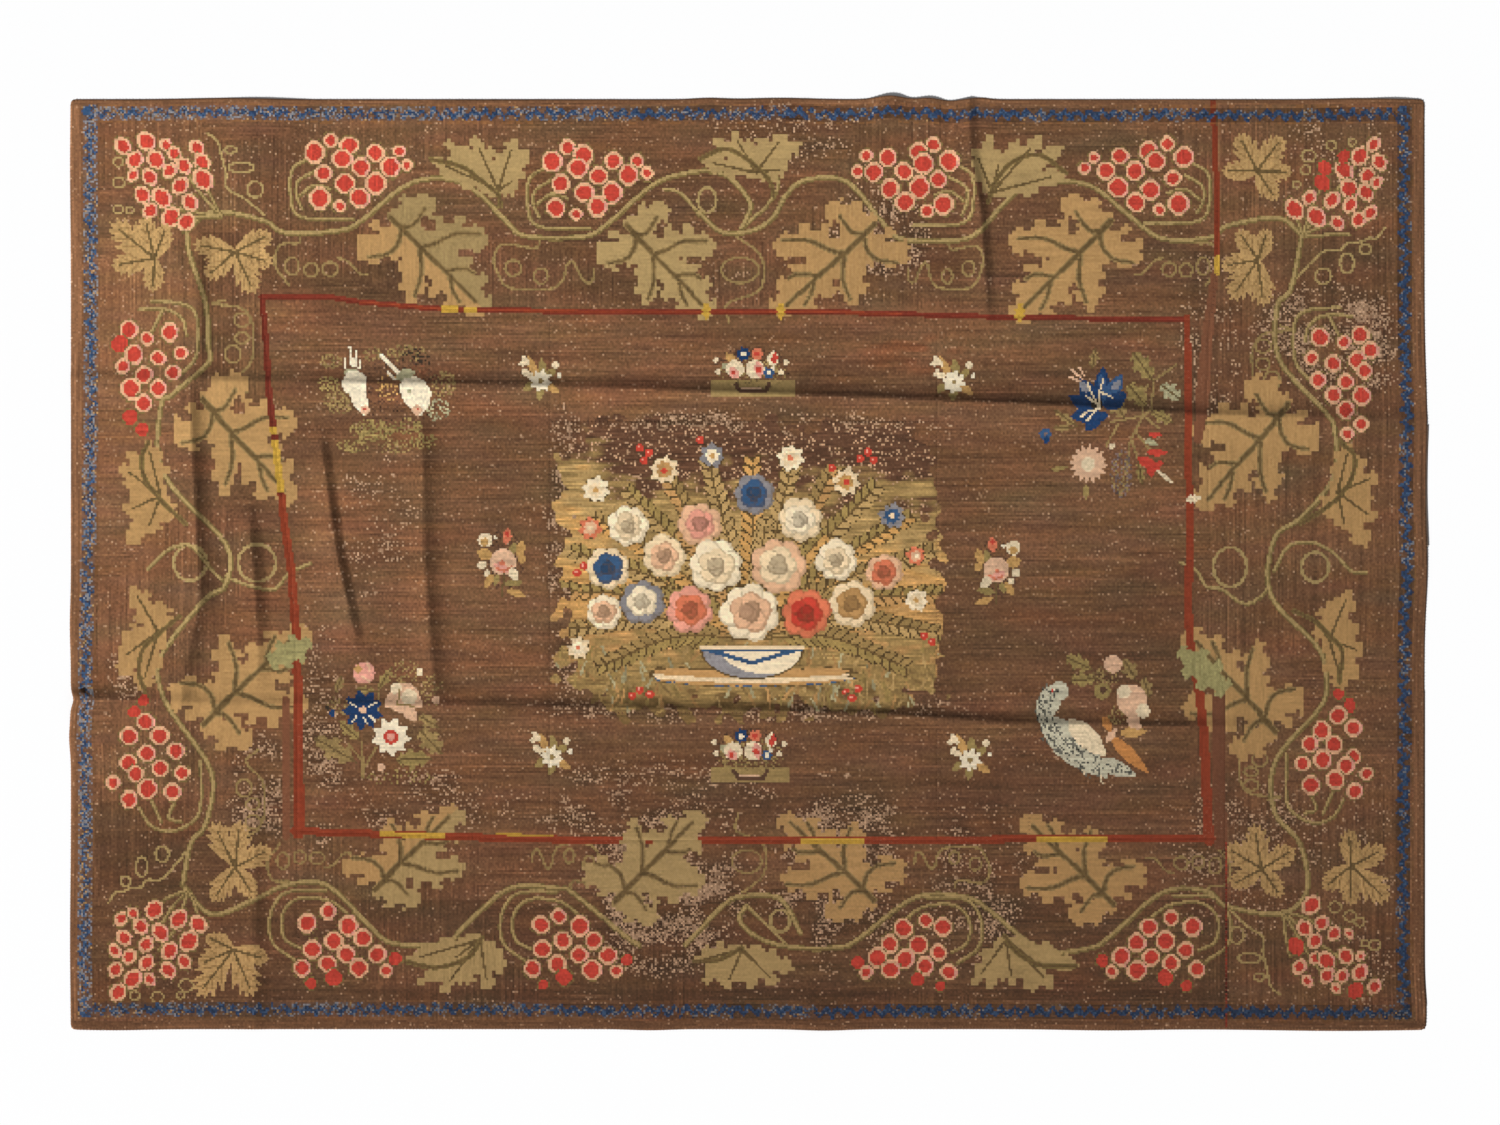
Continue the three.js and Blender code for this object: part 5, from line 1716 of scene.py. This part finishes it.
sewing = {
    "hemStep": 0.0074,
    "hemPath": [(-0.0062, -0.0012, 0.002), (-0.0042, -0.0008, 0.0024), (-0.0014, 0, 0.0017),
                (0.0002, 0.0006, 0.0012), (0.0005, 0.001, 0.0008), (0.0001, 0.0012, 0.0005)],
    "joinStep": 0.0088,
    "joinPath": [(-0.0032, -0.0008, 0.0024), (-0.0018, -0.0004, 0.0033), (0, 0, 0.0034),
                 (0.0018, 0.0004, 0.0033), (0.0032, 0.0008, 0.0024)],
    "hemYarn": wool(132, 98, 70),
    "joinYarn": wool(104, 74, 54),
    "radius": 0.0006,
    "uneven": 0.12,
    # Joins that are overcast, from end to end in the photograph's pixels
    "joins": [
        [258, 116, 261, 290], [298, 842, 298, 1006], [1217, 272, 1211, 318], [1226, 846, 1226, 1006],
        [550, 422, 938, 422], [938, 422, 938, 713], [938, 713, 550, 713], [550, 713, 550, 422],
        [550, 316, 550, 420], [938, 716, 938, 834], [1029, 777, 1029, 836],
    ],
}


def sew(name, places, turns, path, colour, seed, tree, sockets):
    # A thread worked at every place, as one plain mesh
    mesh = bpy.data.meshes.new(name + "_places")
    mesh.from_pydata(places.tolist(), [], [])
    angles = np.column_stack([0 * turns, 0 * turns, turns]).astype(np.float32)
    mesh.attributes.new("turn", "FLOAT_VECTOR", "POINT").data.foreach_set("vector", angles.ravel())
    holder = placeObject(name + "_places", mesh)
    thread = threadObject(name + "_thread", path, sewing["radius"])
    yarn = plainMaterial(name.replace("stitches", "yarn"), colour)
    modifier = holder.modifiers.new("Sewing", "NODES")
    modifier.node_group = tree
    for socket, value in (("Thread", thread), ("Seed", seed), ("Uneven", sewing["uneven"]), ("Wool", yarn)):
        modifier[sockets[socket]] = value
    graph = bpy.context.evaluated_depsgraph_get()
    made = bpy.data.meshes.new_from_object(holder.evaluated_get(graph), depsgraph=graph)
    made.name = name
    for helper in (holder, thread):
        helper.modifiers.clear()
        bpy.data.objects.remove(helper, do_unlink=True)
    return placeObject(name, made)


def buildSewing():
    tree, sockets = sewingTree()
    rim = rimLine()
    places, turns = alongLine(np.concatenate([rim, rim[:1]]), sewing["hemStep"])
    given = (sewing["hemPath"], sewing["hemYarn"], 131, tree, sockets)
    hemStitches = sew("hem_stitches", places, turns - math.pi / 2, *given)
    joined = []
    for line in sewing["joins"]:
        ends = fromPhoto(*np.reshape(line, (2, 2)).T)
        x, y = (np.interp(np.linspace(0, 1, 40), [0, 1], values) for values in ends)
        joined.append(alongLine(np.column_stack([x, y, rise(x, y)]), sewing["joinStep"]))
    places, turns = (np.concatenate(parts) for parts in zip(*joined))
    given = (sewing["joinPath"], sewing["joinYarn"], 132, tree, sockets)
    joinStitches = sew("join_stitches", places, turns - math.pi / 2, *given)
    print("sewn:", len(rim), "rim points,", len(places), "join stitches")
    return [hemStitches, joinStitches]


def buildEdging():
    rim = rimLine()
    hem = ribbon("hem", rim, -edging["hemInset"], -edging["hemWidth"], 0.0, edging["hemThick"], hemMaterial)
    pieces = [hem]
    lining = wovenMaterial("lining", wool(196, 170, 150), 700, 0.2)
    for number, (start, end, out) in enumerate(edging["lining"], 1):
        low, high = sorted(fromPhoto(0, [start, end])[1])
        side = rim[(rim[:, 0] > length * 0.49) & (rim[:, 1] > low) & (rim[:, 1] < high)]
        side = side[np.argsort(side[:, 1])]
        given = (out, -edging["liningWidth"], *edging["liningHeights"], lining)
        pieces.append(ribbon("lining_" + str(number), side, *given))
    return pieces


panels = buildPanels()
canvas = sheetMesh("canvas", cloth["canvasStep"], cloth["canvasBottom"], cloth["canvasTop"],
                   cloth["canvasInset"], canvasMaterial)
stitches = buildSewing()
edges = buildEdging()
print("canvas, sewing and edges made")


# Camera, floor and light
def buildCamera():
    view = {"height": 7.0, "sensor": 36.0, "frame": (1500, 1125)}
    camera = bpy.data.cameras.new("camera")
    camera.sensor_width = view["sensor"]
    camera.lens = view["sensor"] * view["height"] / (view["frame"][0] * pixel)
    camera.clip_end = 50
    holder = placeObject("camera", camera)
    centreX, centreY = fromPhoto(view["frame"][0] / 2, view["frame"][1] / 2)
    holder.location = (float(centreX), float(centreY), view["height"] + cloth["top"])
    bpy.context.scene.camera = holder


def buildLight():
    light = {"sun": 5.5, "softness": 9.0, "height": 31.0, "from": 225.0, "sky": 0.2}
    sun = bpy.data.lights.new("key", "SUN")
    sun.energy = light["sun"]
    sun.angle = math.radians(light["softness"])
    sun.color = (1.0, 0.985, 0.96)
    holder = placeObject("key", sun)
    holder.rotation_euler = (math.radians(90 - light["height"]), 0, math.radians(light["from"] + 90))
    world = bpy.data.worlds.new("studio")
    world.use_nodes = True
    background = world.node_tree.nodes["Background"]
    background.inputs["Color"].default_value = (0.98, 0.99, 1.0, 1.0)
    background.inputs["Strength"].default_value = light["sky"]
    bpy.context.scene.world = world
    bpy.context.scene.view_settings.view_transform = "Standard"


def buildFloor():
    floor = {"half": 9.0, "colour": (0.9, 0.91, 0.93)}
    half = floor["half"]
    corners = [(-half, -half, 0), (half, -half, 0), (half, half, 0), (-half, half, 0)]
    material = plainMaterial("floor", floor["colour"], roughness=0.9, specular=0.5, sheen=0.0)
    meshObject("floor", corners, np.array([[0, 1, 2, 3]]), material)


buildCamera()
buildLight()
buildFloor()

for piece in panels + [canvas] + stitches + edges:
    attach(piece, "root")
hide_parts("rug_cloth")

print("pieces placed")
